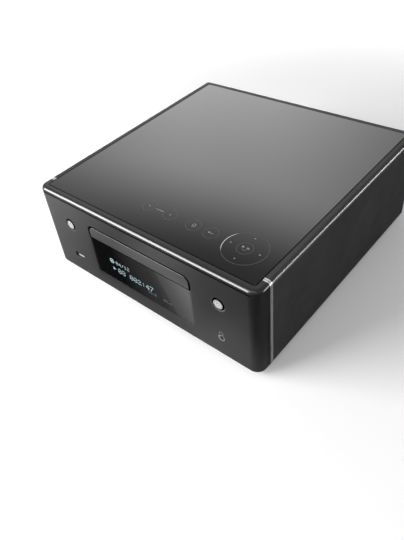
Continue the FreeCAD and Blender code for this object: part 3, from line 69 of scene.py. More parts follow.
class Nodes:
    """Adds nodes to a tree and joins them."""

    def __init__(self, tree):
        self.tree = tree

    def new(self, kind, **settings):
        node = self.tree.nodes.new(kind)
        for key, value in settings.items():
            setattr(node, key, value)
        return node

    def join(self, source, target):
        self.tree.links.new(source, target)

    def place(self):
        """Object coordinates."""
        return self.new("ShaderNodeTexCoord").outputs["Object"]

    def scaled(self, vector, scale):
        """Vector scaled along each axis."""
        node = self.new("ShaderNodeVectorMath", operation="MULTIPLY")
        self.join(vector, node.inputs[0])
        node.inputs[1].default_value = scale
        return node.outputs["Vector"]

    def moved(self, vector, centre):
        """Vector measured from a centre."""
        node = self.new("ShaderNodeVectorMath", operation="SUBTRACT")
        self.join(vector, node.inputs[0])
        node.inputs[1].default_value = centre
        return node.outputs["Vector"]

    def length(self, vector):
        node = self.new("ShaderNodeVectorMath", operation="LENGTH")
        self.join(vector, node.inputs[0])
        return node.outputs["Value"]

    def dot(self, vector, direction):
        node = self.new("ShaderNodeVectorMath", operation="DOT_PRODUCT")
        self.join(vector, node.inputs[0])
        node.inputs[1].default_value = direction
        return node.outputs["Value"]

    def math(self, operation, *values):
        """Result of a sum on sockets and plain numbers."""
        node = self.new("ShaderNodeMath", operation=operation)
        for index, value in enumerate(values):
            if hasattr(value, "node"):
                self.join(value, node.inputs[index])
            else:
                node.inputs[index].default_value = value
        return node.outputs["Value"]

    def span(self, value, low, high, first, last):
        """Run smoothly from first to last while the value goes from low to high."""
        node = self.new("ShaderNodeMapRange", interpolation_type="SMOOTHSTEP")
        self.join(value, node.inputs["Value"])
        for name, number in (("From Min", low), ("From Max", high), ("To Min", first), ("To Max", last)):
            node.inputs[name].default_value = number
        return node.outputs["Result"]

    def noise(self, vector, scale, detail=3.0):
        """Noise from 0 to 1."""
        node = self.new("ShaderNodeTexNoise")
        self.join(vector, node.inputs["Vector"])
        node.inputs["Scale"].default_value = scale
        node.inputs["Detail"].default_value = detail
        return node.outputs["Fac"]

    def blend(self, factor, first, second):
        """Colour between two colours, each a plain colour or a socket."""
        node = self.new("ShaderNodeMix", data_type="RGBA")
        self.join(factor, node.inputs["Factor"])
        for name, colour in (("A", first), ("B", second)):
            socket = [entry for entry in node.inputs if entry.name == name and entry.type == "RGBA"][0]
            if hasattr(colour, "node"):
                self.join(colour, socket)
            else:
                socket.default_value = (*colour, 1.0)
        return [entry for entry in node.outputs if entry.type == "RGBA"][0]

    def steps(self, factor, tones):
        """Grey from a list of positions and tones."""
        ramp = self.new("ShaderNodeValToRGB")
        elements = ramp.color_ramp.elements
        while len(elements) < len(tones):
            elements.new(0.5)
        for element, (position, tone) in zip(elements, tones):
            element.position = position
            element.color = (*grey(tone), 1.0)
        self.join(factor, ramp.inputs["Fac"])
        return ramp.outputs["Color"]


class Finish(Nodes):
    """Material with one principled shader. Uniform values are set on its own sockets."""

    def __init__(self, name, colour, roughness, metallic=0.0, **sockets):
        self.material = bpy.data.materials.new(name)
        self.material.use_nodes = True
        super().__init__(self.material.node_tree)
        self.shader = self.tree.nodes["Principled BSDF"]
        self.colour = colour
        self.set("Base Color", (*colour, 1.0))
        self.set("Roughness", roughness)
        self.set("Metallic", metallic)
        for socket, value in sockets.items():
            self.set(socket.replace("_", " "), value)

    def set(self, name, value):
        """Plain value or socket into one input of the shader."""
        if hasattr(value, "node"):
            self.join(value, self.shader.inputs[name])
        else:
            self.shader.inputs[name].default_value = value

    def fade(self, name, factor, full, rest=0.0):
        """Take one input of the shader from full down to rest where the factor is one."""
        self.set(name, self.math("MULTIPLY_ADD", factor, rest - full, full))

    def bump(self, height, strength, distance=0.00005):
        """Bump the surface by a height."""
        node = self.new("ShaderNodeBump")
        node.inputs["Strength"].default_value = strength
        node.inputs["Distance"].default_value = distance
        self.join(height, node.inputs["Height"])
        self.join(node.outputs["Normal"], self.shader.inputs["Normal"])

    def base(self):
        """Socket that the base colour comes from."""
        return self.shader.inputs["Base Color"].links[0].from_socket

    def reach_round(self, centre):
        """Distance from an axis that runs from front to back through a centre."""
        return self.length(self.scaled(self.moved(self.place(), centre), FRONT_PLANE))

    def tint(self, factor, colour):
        """Lay a colour over the base colour where the factor is one."""
        self.set("Base Color", self.blend(factor, self.base(), colour))

    def shades(self, share):
        """The material's colour, darker and lighter by a share."""
        darker = tuple(channel * (1.0 - share) for channel in self.colour)
        lighter = tuple(min(1.0, channel * (1.0 + share)) for channel in self.colour)
        return darker, lighter


# Materials

# Usual specular level of a shader, and the level of a dull edge
SPECULAR = 0.5
DULL_SPECULAR = 0.05

# Scales of the noise in moulded surfaces: broad shifts of colour, and smudges in the gloss
BROAD_SCALE = 14.0
SMUDGE_SCALE = 45.0


def moulded(name, colour, roughness, grain_scale=900.0, grain=0.12, metallic=0.0, **sockets):
    """Moulded or painted surface with a fine grain, small shifts of colour and uneven gloss."""
    finish = Finish(name, colour, roughness, metallic, **sockets)
    place = finish.place()
    darker, lighter = finish.shades(0.1)
    broad = finish.span(finish.noise(place, BROAD_SCALE), 0.35, 0.65, 0.0, 1.0)
    finish.set("Base Color", finish.blend(broad, darker, lighter))
    smudges = finish.noise(place, SMUDGE_SCALE, detail=5.0)
    finish.set("Roughness", finish.span(smudges, 0.3, 0.7, roughness * 0.92, min(1.0, roughness * 1.08)))
    finish.bump(finish.noise(place, grain_scale, detail=2.0), grain)
    return finish


def glassy(name, colour, roughness):
    """Flat gloss pane with faint smears in its shine and a clear coat."""
    finish = Finish(name, colour, roughness, Coat_Weight=1.0, Coat_Roughness=0.02)
    place = finish.place()
    smears = finish.noise(finish.scaled(place, (1.0, 0.4, 1.0)), 24.0, detail=5.0)
    finish.set("Roughness", finish.span(smears, 0.35, 0.7, roughness * 0.8, roughness * 1.3))
    darker, lighter = finish.shades(0.15)
    finish.set("Base Color", finish.blend(finish.noise(place, 9.0), darker, lighter))
    return finish


# Scales of the noise in brushed metal: across the scratches and along them
SCRATCH_ACROSS = 5200.0
SCRATCH_ALONG = 60.0


def brushed(name, colour, roughness, direction, strength=0.2, metallic=1.0):
    """Metal brushed along one axis, with fine scratches."""
    finish = Finish(name, colour, roughness, metallic)
    stretch = [SCRATCH_ACROSS] * 3
    stretch[direction] = SCRATCH_ALONG
    lines = finish.noise(finish.scaled(finish.place(), stretch), 1.0, detail=4.0)
    darker, lighter = finish.shades(0.08)
    finish.set("Base Color", finish.blend(lines, darker, lighter))
    finish.set("Roughness", finish.span(lines, 0.3, 0.7, roughness * 0.8, roughness * 1.2))
    finish.bump(lines, strength, 0.00002)
    return finish


# Trim, in millimetres: half the width of the painted groove shade, and where the painted highlight at its
# tip begins and is full
GROOVE_SHADE_HALF = 0.3
TIP_HIGHLIGHT_START = 4.0
TIP_HIGHLIGHT_FULL = 2.0


def trim_finish():
    """Bright trim, brushed along its length, with a dark line painted along its face as the shade of a
    groove, and a painted highlight at its tip.
    """
    finish = brushed("trim_bright", (0.45, 0.45, 0.46), 0.3, 2, strength=0.05, metallic=0.45)
    low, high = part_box("trim_strip_right")
    offset = finish.math("SUBTRACT", finish.dot(finish.place(), AHEAD), (low.y + high.y) / 2.0)
    # Dark line along the middle of the strip: painted shade of a groove
    groove_shade = finish.math("COMPARE", offset, 0.0, GROOVE_SHADE_HALF * MM)
    height = finish.dot(finish.place(), UP)
    # Upper end of the strip painted lighter: a painted highlight
    tip_highlight = finish.span(height, high.z - TIP_HIGHLIGHT_START * MM, high.z - TIP_HIGHLIGHT_FULL * MM, 0.0, 1.0)
    finish.tint(tip_highlight, (0.86, 0.86, 0.87))
    finish.tint(groove_shade, grey(0.2))
    return finish


# Buttons, in millimetres: the turned face's radius, outside which the skirt is painted black as shade, and
# the pitch of its rings
FACE_RADIUS = 4.8
RING_PITCH = 2.2


def turned(name, centre):
    """Face turned on a lathe, with fine rings round an axis that runs to the front, and a skirt painted
    black as shade of the gap round it.
    """
    finish = Finish(name, (0.56, 0.56, 0.57), 0.22, 0.35)
    reach = finish.reach_round(centre)
    wave = finish.math("SINE", finish.math("MULTIPLY", reach, 2.0 * math.pi / (RING_PITCH * MM)))
    darker, lighter = finish.shades(0.42)
    finish.set("Base Color", finish.blend(finish.span(wave, -1.0, 1.0, 0.0, 1.0), darker, lighter))
    # Skirt past the face painted black, without shine: painted shade of the gap round the button
    skirt_shade = finish.math("GREATER_THAN", reach, FACE_RADIUS * MM)
    finish.tint(skirt_shade, grey(0.004))
    finish.fade("Specular IOR Level", skirt_shade, SPECULAR)
    finish.bump(wave, 0.4)
    return finish


def glowing(name, colour, strength):
    """Surface that gives off its own light, a little uneven from spot to spot."""
    finish = Finish(name, grey(0.0), 0.4)
    dimmer = tuple(channel * 0.75 for channel in colour)
    uneven = finish.noise(finish.place(), 500.0)
    finish.set("Emission Color", finish.blend(finish.span(uneven, 0.35, 0.6, 0.0, 1.0), dimmer, colour))
    finish.set("Emission Strength", strength)
    return finish


# Scale of the cells between a board's tracks
TRACK_SCALE = 220.0


def circuit(name, colour, track_colour):
    """Circuit board with solder resist over a maze of tracks."""
    finish = Finish(name, colour, 0.35)
    cells = finish.new("ShaderNodeTexVoronoi", distance="MANHATTAN")
    finish.join(finish.place(), cells.inputs["Vector"])
    cells.inputs["Scale"].default_value = TRACK_SCALE
    tracks = finish.span(cells.outputs["Distance"], 0.25, 0.4, 0.0, 1.0)
    finish.set("Base Color", finish.blend(tracks, colour, track_colour))
    finish.bump(tracks, 0.2)
    return finish


# Touch marks on the top plate, in millimetres: across, and behind the front plane
MARK_DEPTH = 39.7
DIAL_X = 99.0
DIAL_RADIUS = 20.6
SMALL_RADIUS = 7.35
SMALL_MARKS = (-12.6, 13.7, 42.0, 62.1)

# Painted glint on the large ring: where it begins and is full, as shares of the radius, and half its width
GLINT_START = 0.72
GLINT_FULL = 0.95
GLINT_HALF = 2.0


def touch_finish():
    """Thin brownish print, with a painted glint on the left of the large ring."""
    finish = moulded("touch_mark", (0.078, 0.07, 0.06), 0.3)
    centre = Vector((DIAL_X * MM, front_y + MARK_DEPTH * MM, plate_high.z))
    offset = finish.moved(finish.place(), centre)
    # Left part of the large ring painted bright: a painted glint
    glint_ring = finish.math("COMPARE", finish.length(offset), DIAL_RADIUS * MM, GLINT_HALF * MM)
    leftward = finish.dot(offset, (-1.0, 0.0, 0.0))
    left = finish.span(leftward, GLINT_START * DIAL_RADIUS * MM, GLINT_FULL * DIAL_RADIUS * MM, 0.0, 1.0)
    finish.tint(finish.math("MULTIPLY", glint_ring, left), grey(0.75))
    return finish


# Headphone outline above the jack, in millimetres: its arc, its place, its pads and the depth of the ink
SYMBOL_RADIUS = 1.9
SYMBOL_LINE = 0.28
SYMBOL_RISE = 6.2
PAD_DROP = 0.8
INK_DEPTH = 0.2

# Front panel, in millimetres: painted dark reflection line under the top edge, painted shade round the disc
# opening, dishes round the buttons with painted shade next to them, and skin
EDGE_REFLECTION_DROP = 4.7
EDGE_REFLECTION_HALF = 0.8
OPENING_HALF = 67.9
OPENING_TOP = 87.5
OPENING_RADIUS = 8.0
DISH_RADIUS = 7.8
SHADE_RADIUS = 6.75
SKIN = 0.25

# Weight of the satin panel's coat
PANEL_COAT = 0.9


def front_finish():
    """Satin front panel: a headphone outline above the jack, a painted dark reflection line under the edge,
    and painted shade in and round the openings and round the buttons.
    """
    finish = moulded("panel_satin", (0.013, 0.013, 0.0135), 0.32, Coat_Weight=PANEL_COAT,
                     Coat_Roughness=0.09)
    jack = middle("headphone_jack")
    offset = finish.moved(finish.place(), Vector((jack.x, front_y, jack.z + SYMBOL_RISE * MM)))
    across = finish.math("ABSOLUTE", finish.dot(offset, ACROSS))
    up = finish.dot(offset, UP)
    depth = finish.dot(offset, AHEAD)
    reach = finish.length(finish.scaled(offset, FRONT_PLANE))
    band = finish.math("COMPARE", reach, SYMBOL_RADIUS * MM, SYMBOL_LINE * MM)
    band = finish.math("MULTIPLY", band, finish.math("GREATER_THAN", up, 0.0))
    pads = finish.math("COMPARE", across, SYMBOL_RADIUS * MM, 2.0 * SYMBOL_LINE * MM)
    pads = finish.math("MULTIPLY", pads, finish.math("COMPARE", up, -PAD_DROP * MM, PAD_DROP * MM))
    outline = finish.math("MULTIPLY", finish.math("MAXIMUM", band, pads),
                          finish.math("LESS_THAN", depth, INK_DEPTH * MM))
    finish.tint(outline, grey(0.2))
    height = finish.dot(finish.place(), UP)
    sideways = finish.math("ABSOLUTE", finish.dot(finish.place(), ACROSS))
    # Line under the top edge painted black, without shine: a painted dark reflection
    line = finish.math("COMPARE", height, panel_high.z - EDGE_REFLECTION_DROP * MM, EDGE_REFLECTION_HALF * MM)
    line = finish.math("MULTIPLY", line, finish.math("LESS_THAN", depth, SKIN * MM))
    # Inside and just round the disc opening, deep faces and a band of the front face are painted black,
    # without shine: painted shade
    squares = []
    for value, limit in ((sideways, OPENING_HALF), (height, OPENING_TOP)):
        past = finish.math("SUBTRACT", value, (limit - OPENING_RADIUS) * MM)
        squares.append(finish.math("POWER", finish.math("MAXIMUM", past, 0.0), 2.0))
    inside = finish.math("LESS_THAN", finish.math("ADD", *squares), (OPENING_RADIUS * MM) ** 2)
    deep_shade = finish.math("MAXIMUM", finish.math("GREATER_THAN", depth, SKIN * MM),
                       finish.math("GREATER_THAN", height, door_low.z))
    dull_and_shade = finish.math("MAXIMUM", line, finish.math("MULTIPLY", inside, deep_shade))
    finish.tint(dull_and_shade, grey(0.002))
    for name in ("power_button", "eject_button"):
        reach = finish.reach_round(middle(name))
        dish = finish.math("LESS_THAN", reach, DISH_RADIUS * MM)
        finish.tint(dish, (0.09, 0.09, 0.092))
        # Gap next to each button painted black: painted shade
        finish.tint(finish.math("LESS_THAN", reach, SHADE_RADIUS * MM), grey(0.002))
        dull_and_shade = finish.math("MAXIMUM", dull_and_shade, dish)
    finish.fade("Coat Weight", dull_and_shade, PANEL_COAT)
    finish.fade("Specular IOR Level", dull_and_shade, SPECULAR)
    return finish


# Dull border of the top plate, and of the window's upper edge, in millimetres
PLATE_BORDER = 0.5
WINDOW_BORDER = 0.02


def dull_border(finish, border):
    """Take the coat and most of the shine off a pane's border."""
    finish.fade("Coat Weight", border, 1.0)
    finish.fade("Specular IOR Level", border, SPECULAR, DULL_SPECULAR)


def plate_finish():
    """Gloss top plate with a dull dark border."""
    finish = glassy("plate_gloss", (0.004, 0.004, 0.0045), 0.06)
    place = finish.place()
    across = finish.math("ABSOLUTE", finish.dot(place, ACROSS))
    sides = finish.math("GREATER_THAN", across, plate_high.x - PLATE_BORDER * MM)
    front = finish.math("LESS_THAN", finish.dot(place, AHEAD), plate_low.y + PLATE_BORDER * MM)
    dull_border(finish, finish.math("MAXIMUM", sides, front))
    return finish


# Painted highlight along the tray door's upper edge, in millimetres
DOOR_HIGHLIGHT = 0.5


def door_finish():
    """Satin tray door with a painted highlight along its upper edge, and painted shade on its faces behind
    the front face.
    """
    finish = moulded("door_satin", (0.04, 0.04, 0.042), 0.32, Coat_Weight=PANEL_COAT, Coat_Roughness=0.09)
    height = finish.dot(finish.place(), UP)
    # Upper edge painted lighter: a painted highlight
    finish.tint(finish.math("GREATER_THAN", height, door_high.z - DOOR_HIGHLIGHT * MM), grey(0.24))
    depth = finish.math("SUBTRACT", finish.dot(finish.place(), AHEAD), front_y)
    # Faces behind the front face painted black, without shine: painted shade in the gap
    behind = finish.math("GREATER_THAN", depth, SKIN * MM)
    finish.tint(behind, grey(0.004))
    finish.fade("Coat Weight", behind, PANEL_COAT)
    finish.fade("Specular IOR Level", behind, SPECULAR)
    return finish


def window_finish():
    """Gloss display window with a dull upper edge."""
    finish = glassy("window_gloss", (0.0015, 0.0015, 0.0018), 0.02)
    height = finish.dot(finish.place(), UP)
    dull_border(finish, finish.math("GREATER_THAN", height, window_high.z - WINDOW_BORDER * MM))
    return finish


# Painted shade in the jack's bore, in millimetres: its radius, and how far it lies to the right and above
BORE_SHADE = 2.2
BORE_SHIFT = Vector((0.5, 0.0, 0.35))


def jack_finish():
    """Dull metal ring, with painted shade filling the bore and reaching onto the ring's right side."""
    finish = moulded("jack_ring", (0.3, 0.3, 0.31), 0.28, metallic=0.5)
    shade = finish.reach_round(middle("headphone_jack") + BORE_SHIFT * MM)
    # Bore and the ring's right side painted dark: painted shade
    finish.tint(finish.math("LESS_THAN", shade, BORE_SHADE * MM), grey(0.01))
    return finish


# Lip of the USB shell, in millimetres, left out of the painted shade inside
USB_LIP = 0.4


def usb_finish():
    """Steel shell, its colour darkened as painted shade, and painted darker still inside as shade."""
    # Dark steel colour: painted shade of the recessed shell
    finish = brushed("usb_steel", (0.14, 0.14, 0.145), 0.35, 0)
    depth = finish.math("SUBTRACT", finish.dot(finish.place(), AHEAD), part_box("usb_socket")[0].y)
    # Inside painted darker: painted shade
    inside = finish.math("GREATER_THAN", depth, USB_LIP * MM)
    finish.tint(inside, grey(0.02))
    finish.fade("Metallic", inside, 1.0)
    return finish


# Well of the network socket, in millimetres, a hair wider than its walls
WELL_HALF_WIDTH = 5.91
WELL_HALF_HEIGHT = 4.01


def network_finish():
    """Steel shell round a dark well."""
    finish = brushed("network_steel", (0.62, 0.62, 0.64), 0.32, 0)
    offset = finish.moved(finish.place(), middle("network_socket"))
    sideways = finish.math("ABSOLUTE", finish.dot(offset, ACROSS))
    upright = finish.math("ABSOLUTE", finish.dot(offset, UP))
    well = finish.math("MULTIPLY", finish.math("LESS_THAN", sideways, WELL_HALF_WIDTH * MM),
                       finish.math("LESS_THAN", upright, WELL_HALF_HEIGHT * MM))
    finish.tint(well, (0.015, 0.015, 0.016))
    finish.fade("Metallic", well, 1.0)
    return finish


# Insulator of the aerial socket, in millimetres: its middle radius and half its width
INSULATOR_RADIUS = 2.4
INSULATOR_HALF = 1.25


def aerial_finish():
    """Steel collar with a white insulator round its contact."""
    finish = brushed("aerial_steel", (0.62, 0.62, 0.64), 0.32, 0)
    reach = finish.reach_round(middle("aerial_socket"))
    insulator = finish.math("COMPARE", reach, INSULATOR_RADIUS * MM, INSULATOR_HALF * MM)
    finish.tint(insulator, (0.5, 0.49, 0.45))
    finish.fade("Metallic", insulator, 1.0)
    return finish


# Phono sockets, in millimetres: height between the rows, start of the last column, and collars' length
PHONO_ROW_SPLIT = 36.0
PHONO_LAST_COLUMN = 22.0
PHONO_COLLAR = 1.25


def phono_finish():
    """Gold shells with plastic collars at the rear panel: white above, red below, black at the end."""
    finish = brushed("phono_gold", (0.83, 0.62, 0.28), 0.25, 1)
    place = finish.place()
    upper = finish.math("GREATER_THAN", finish.dot(place, UP), PHONO_ROW_SPLIT * MM)
    last = finish.math("GREATER_THAN", finish.dot(place, ACROSS), PHONO_LAST_COLUMN * MM)
    collar = finish.math("LESS_THAN", finish.dot(place, AHEAD), rear_y + PHONO_COLLAR * MM)
    plastic = finish.blend(upper, (0.4, 0.015, 0.015), (0.7, 0.7, 0.68))
    plastic = finish.blend(last, plastic, grey(0.015))
    finish.set("Base Color", finish.blend(collar, finish.base(), plastic))
    finish.fade("Metallic", collar, 1.0)
    return finish


# Pins of the mains inlet, in millimetres
PIN_HALF_SPACING = 4.3
PIN_RADIUS = 1.25


def mains_finish():
    """Black inlet with two bright pins."""
    finish = moulded("inlet_black", (0.018, 0.018, 0.019), 0.4)
    inlet = middle("mains_inlet")
    bright = 0.0
    for side in (-1.0, 1.0):
        centre = Vector((inlet.x + side * PIN_HALF_SPACING * MM, inlet.y, inlet.z))
        pin = finish.math("LESS_THAN", finish.reach_round(centre), PIN_RADIUS * MM)
        bright = finish.math("MAXIMUM", pin, bright)
    finish.tint(bright, grey(0.7))
    finish.set("Metallic", bright)
    return finish


# Glossy upper edge of the cover with a painted highlight, in millimetres in from its side and down from its
# top: start and full shine
GLOSS_HIGHLIGHT_SIDE = (1.6, 0.9)
GLOSS_HIGHLIGHT_TOP = (4.0, 2.9)


def cover_finish():
    """Matt cover with a coat along its upper edges, which are also painted lighter as a highlight."""
    finish = moulded("cover_matt", (0.037, 0.037, 0.038), 0.5, Coat_Roughness=0.1, Specular_IOR_Level=0.35)
    cover_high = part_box("cabinet_cover")[1]
    place = finish.place()
    across = finish.math("ABSOLUTE", finish.dot(place, ACROSS))
    height = finish.dot(place, UP)
    highlight_spans = []
    for value, limit, (start, full) in ((across, cover_high.x, GLOSS_HIGHLIGHT_SIDE), (height, cover_high.z, GLOSS_HIGHLIGHT_TOP)):
        highlight_spans.append(finish.span(value, limit - start * MM, limit - full * MM, 0.0, 1.0))
    gloss_and_highlight = finish.math("MULTIPLY", *highlight_spans)
    # Upper edges painted lighter: a painted highlight, with real gloss from the coat
    finish.tint(gloss_and_highlight, grey(0.12))
    finish.set("Coat Weight", gloss_and_highlight)
    return finish


# Painted shade over the left end of the USB tongue, in millimetres across from its middle
TONGUE_SHADE_END = -3.2


def tongue_finish():
    """White plastic, with painted shade over its left end."""
    finish = moulded("socket_tongue", (0.5, 0.5, 0.49), 0.35)
    across = finish.math("SUBTRACT", finish.dot(finish.place(), ACROSS), middle("usb_socket").x)
    # Left end painted dark: painted shade
    finish.tint(finish.math("LESS_THAN", across, TONGUE_SHADE_END * MM), grey(0.03))
    return finish


def make_materials():
    """Every material of the unit, by name."""
    finishes = {
        "panel": front_finish(),
        "door": door_finish(),
        "cover": cover_finish(),
        "plate": plate_finish(),
        "window": window_finish(),
        "trim": trim_finish(),
        "button_left": turned("button_turned_left", middle("power_button")),
        "button_right": turned("button_turned_right", middle("eject_button")),
        "jack": jack_finish(),
        "usb": usb_finish(),
        "phono": phono_finish(),
        "network": network_finish(),
        "aerial": aerial_finish(),
        "inlet": mains_finish(),
        "print": moulded("rear_print", (0.55, 0.55, 0.54), 0.5),
        "steel": brushed("zinc_steel", (0.62, 0.62, 0.64), 0.32, 0),
        "pan": moulded("pan_steel", (0.045, 0.045, 0.047), 0.45, grain=0.25),
        "black": moulded("black_moulding", (0.022, 0.022, 0.024), 0.45),
        "tray": moulded("tray_moulding", (0.018, 0.018, 0.019), 0.38, grain_scale=700.0),
        "grey": moulded("grey_moulding", (0.16, 0.16, 0.165), 0.5),
        "white": moulded("white_acetal", (0.72, 0.71, 0.67), 0.42),
        "rubber": moulded("rubber_sole", grey(0.018), 0.8, grain_scale=400.0, grain=0.4),
        "board": circuit("board_green", (0.012, 0.06, 0.025), (0.03, 0.12, 0.05)),
        "aluminium": brushed("heat_sink_aluminium", (0.72, 0.72, 0.74), 0.35, 1),
        "ferrite": moulded("ferrite_tape", (0.08, 0.07, 0.05), 0.6),
        "lens": moulded("lens_glass", (0.3, 0.36, 0.65), 0.06, grain=0.02, Transmission_Weight=0.5),
        "red": moulded("red_moulding", (0.42, 0.02, 0.02), 0.3),
        "knob": moulded("black_knob", (0.015, 0.015, 0.016), 0.3),
        "ribbon": moulded("ribbon_white", (0.6, 0.6, 0.58), 0.5),
        "sleeve": moulded("capacitor_sleeve", (0.02, 0.03, 0.09), 0.3),
        "glass": moulded("display_glass", (0.01, 0.02, 0.024), 0.12),
        "chrome": brushed("guide_rod", (0.85, 0.85, 0.87), 0.1, 1, strength=0.05),
        "touch": touch_finish(),
        "symbol": moulded("touch_glyph", (0.34, 0.33, 0.32), 0.4),
        "tongue": tongue_finish(),
        "lit": glowing("display_lit", (0.66, 0.91, 1.0), 0.8),
        "lit_dim": glowing("display_dim", (0.36, 0.5, 0.55), 0.42),
    }
    return {name: finish.material for name, finish in finishes.items()}


NODE_MATERIALS = {
    "front_panel": "panel", "tray_door": "door", "cabinet_cover": "cover", "top_plate": "plate",
    "display_window": "window", "trim_strip_left": "trim", "trim_strip_right": "trim",
    "power_button": "button_left", "eject_button": "button_right", "headphone_jack": "jack",
    "usb_socket": "usb", "button_switches": "black", "front_board": "board", "display_module": "glass",
    "touch_board": "board", "disc_tray": "tray", "loader_chassis": "black", "tray_gear": "white",
    "loading_gear": "white", "motor_pinion": "white", "loading_motor": "steel", "lift_frame": "black",
    "traverse_deck": "steel", "guide_rods": "chrome", "traverse_dampers": "rubber",
    "spindle_motor": "steel", "turntable": "black", "pickup_sled": "grey", "pickup_lens": "lens",
    "feed_gear": "white", "feed_motor": "steel", "clamp_bridge": "steel", "clamper": "grey",
    "feet": "black", "foot_pads": "rubber", "bottom_chassis": "pan", "rear_panel": "pan",
    "mains_inlet": "inlet", "network_socket": "network", "optical_inputs": "black",
    "phono_sockets": "phono", "aerial_socket": "aerial", "speaker_terminals": "black",
    "speaker_knob_1": "knob", "speaker_knob_2": "red", "speaker_knob_3": "knob", "speaker_knob_4": "red",
    "rod_aerial_left": "black", "rod_aerial_right": "black", "aerial_knuckles": "black",
    "main_board": "board", "tuner_module": "steel", "network_module": "steel",
    "amplifier_board": "board", "heat_sink": "aluminium", "power_board": "board", "transformer": "ferrite",
    "capacitors": "sleeve", "ribbon_cables": "ribbon", "case_screws": "steel",
}


def finish_nodes(materials):
    """Give every node its material."""
    for name, key in NODE_MATERIALS.items():
        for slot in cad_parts[name].material_slots:
            slot.material = materials[key]


# Flat marks on the top plate, the display window and the rear panel


def on_top(u, v, w):
    """Point on the top plate: across, behind the front plane and above the plate, in millimetres."""
    return Vector((u * MM, front_y + v * MM, plate_high.z + w * MM))


def on_window(u, v, w):
    """Point on the display window: across, above the cabinet's lower edge and proud of the glass."""
    return Vector((u * MM, window_low.y - w * MM, base_z + v * MM))


def add_prism(mesh, corners, spot, low, high):
    """Convex outline pushed from one height to another."""
    bottom = [mesh.verts.new(spot(u, v, low)) for u, v in corners]
    top = [mesh.verts.new(spot(u, v, high)) for u, v in corners]
    mesh.faces.new(bottom)
    mesh.faces.new(top)
    for index in range(len(corners)):
        following = (index + 1) % len(corners)
        mesh.faces.new((bottom[index], bottom[following], top[following], top[index]))


def add_ring(mesh, centre, radius, width, spot, low, high, start=0.0, stop=360.0):
    """Flat ring, or a part of one, round a centre."""
    whole = stop - start >= 360.0
    steps = max(6, int((stop - start) / 5.0))
    count = steps if whole else steps + 1
    rows = []
    for index in range(count):
        angle = math.radians(start + (stop - start) * index / steps)
        row = []
        for reach in (radius - width / 2.0, radius + width / 2.0):
            u = centre[0] + reach * math.cos(angle)
            v = centre[1] + reach * math.sin(angle)
            row += [mesh.verts.new(spot(u, v, low)), mesh.verts.new(spot(u, v, high))]
        rows.append(row)
    pairs = [(index, (index + 1) % count) for index in range(steps)]
    for first, second in pairs:
        a, b = rows[first], rows[second]
        mesh.faces.new((a[0], b[0], b[2], a[2]))
        mesh.faces.new((a[1], a[3], b[3], b[1]))
        mesh.faces.new((a[0], a[1], b[1], b[0]))
        mesh.faces.new((a[2], b[2], b[3], a[3]))
    if not whole:
        for row in (rows[0], rows[-1]):
            mesh.faces.new((row[0], row[2], row[3], row[1]))


def finish_piece(mesh, name, material, body="cabinet"):
    """Turn a drawn mesh into a piece that rides on a body."""
    bmesh.ops.recalc_face_normals(mesh, faces=mesh.faces)
    data = bpy.data.meshes.new(name)
    mesh.to_mesh(data)
    mesh.free()
    piece = bpy.data.objects.new(name, data)
    bpy.context.scene.collection.objects.link(piece)
    data.materials.append(material)
    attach(piece, body)


# Print, in millimetres: how deep it is sunk and how far it stands out
MARK_LOW = -0.02
MARK_HIGH = 0.04

# Touch marks, in millimetres: line of the rings, plus and minus, rising bars, and arrows round the dial
LINE_WIDTH = 0.5
SIGN_LENGTH = 1.6
STAIR_COUNT = 6
STAIR_LEFT = -3.6
STAIR_PITCH = 1.6
STAIR_WIDTH = 0.7
STAIR_DROP = 0.5
STAIR_HEIGHT = 0.8
STAIR_GROWTH = 0.2
DIAL_ARROW = 1.0
ARROW_REACH = 15.0

# Other touch marks: across, behind the marks' middle line, and then width and depth, or size and turn
TOUCH_BARS = (
    (42.6, 0.0, 2.0, 0.45),
    (62.7, 0.0, 4.2, 0.5),
    (100.6, 1.0, 0.7, 2.7),
    (102.0, 1.0, 0.7, 2.7),
    (97.6, -2.2, 0.6, 0.6),
    (99.0, -2.2, 0.6, 0.6),
    (100.4, -2.2, 0.6, 0.6),
)
TOUCH_ARROWS = (
    (41.0, 0.0, 0.9, 0.0),
    (59.9, 0.0, 1.3, 180.0),
    (96.4, 1.0, 1.7, 0.0),
)

# Open ring of the input mark: its place across, its radius, its line and the angle at each end
INPUT_RING = (42.2, 2.1, 0.4, 120.0)


def square(u, v, width, height):
    """Corners of an upright rectangle round a centre."""
    signs = ((-0.5, -0.5), (0.5, -0.5), (0.5, 0.5), (-0.5, 0.5))
    return [(u + side * width, v + rise * height) for side, rise in signs]


def arrow(u, v, size, turn):
    """Corners of a triangle that points along an angle."""
    corners = []
    for angle in (0.0, 125.0, 235.0):
        reach = math.radians(turn + angle)
        corners.append((u + size * math.cos(reach), v + size * math.sin(reach)))
    return corners


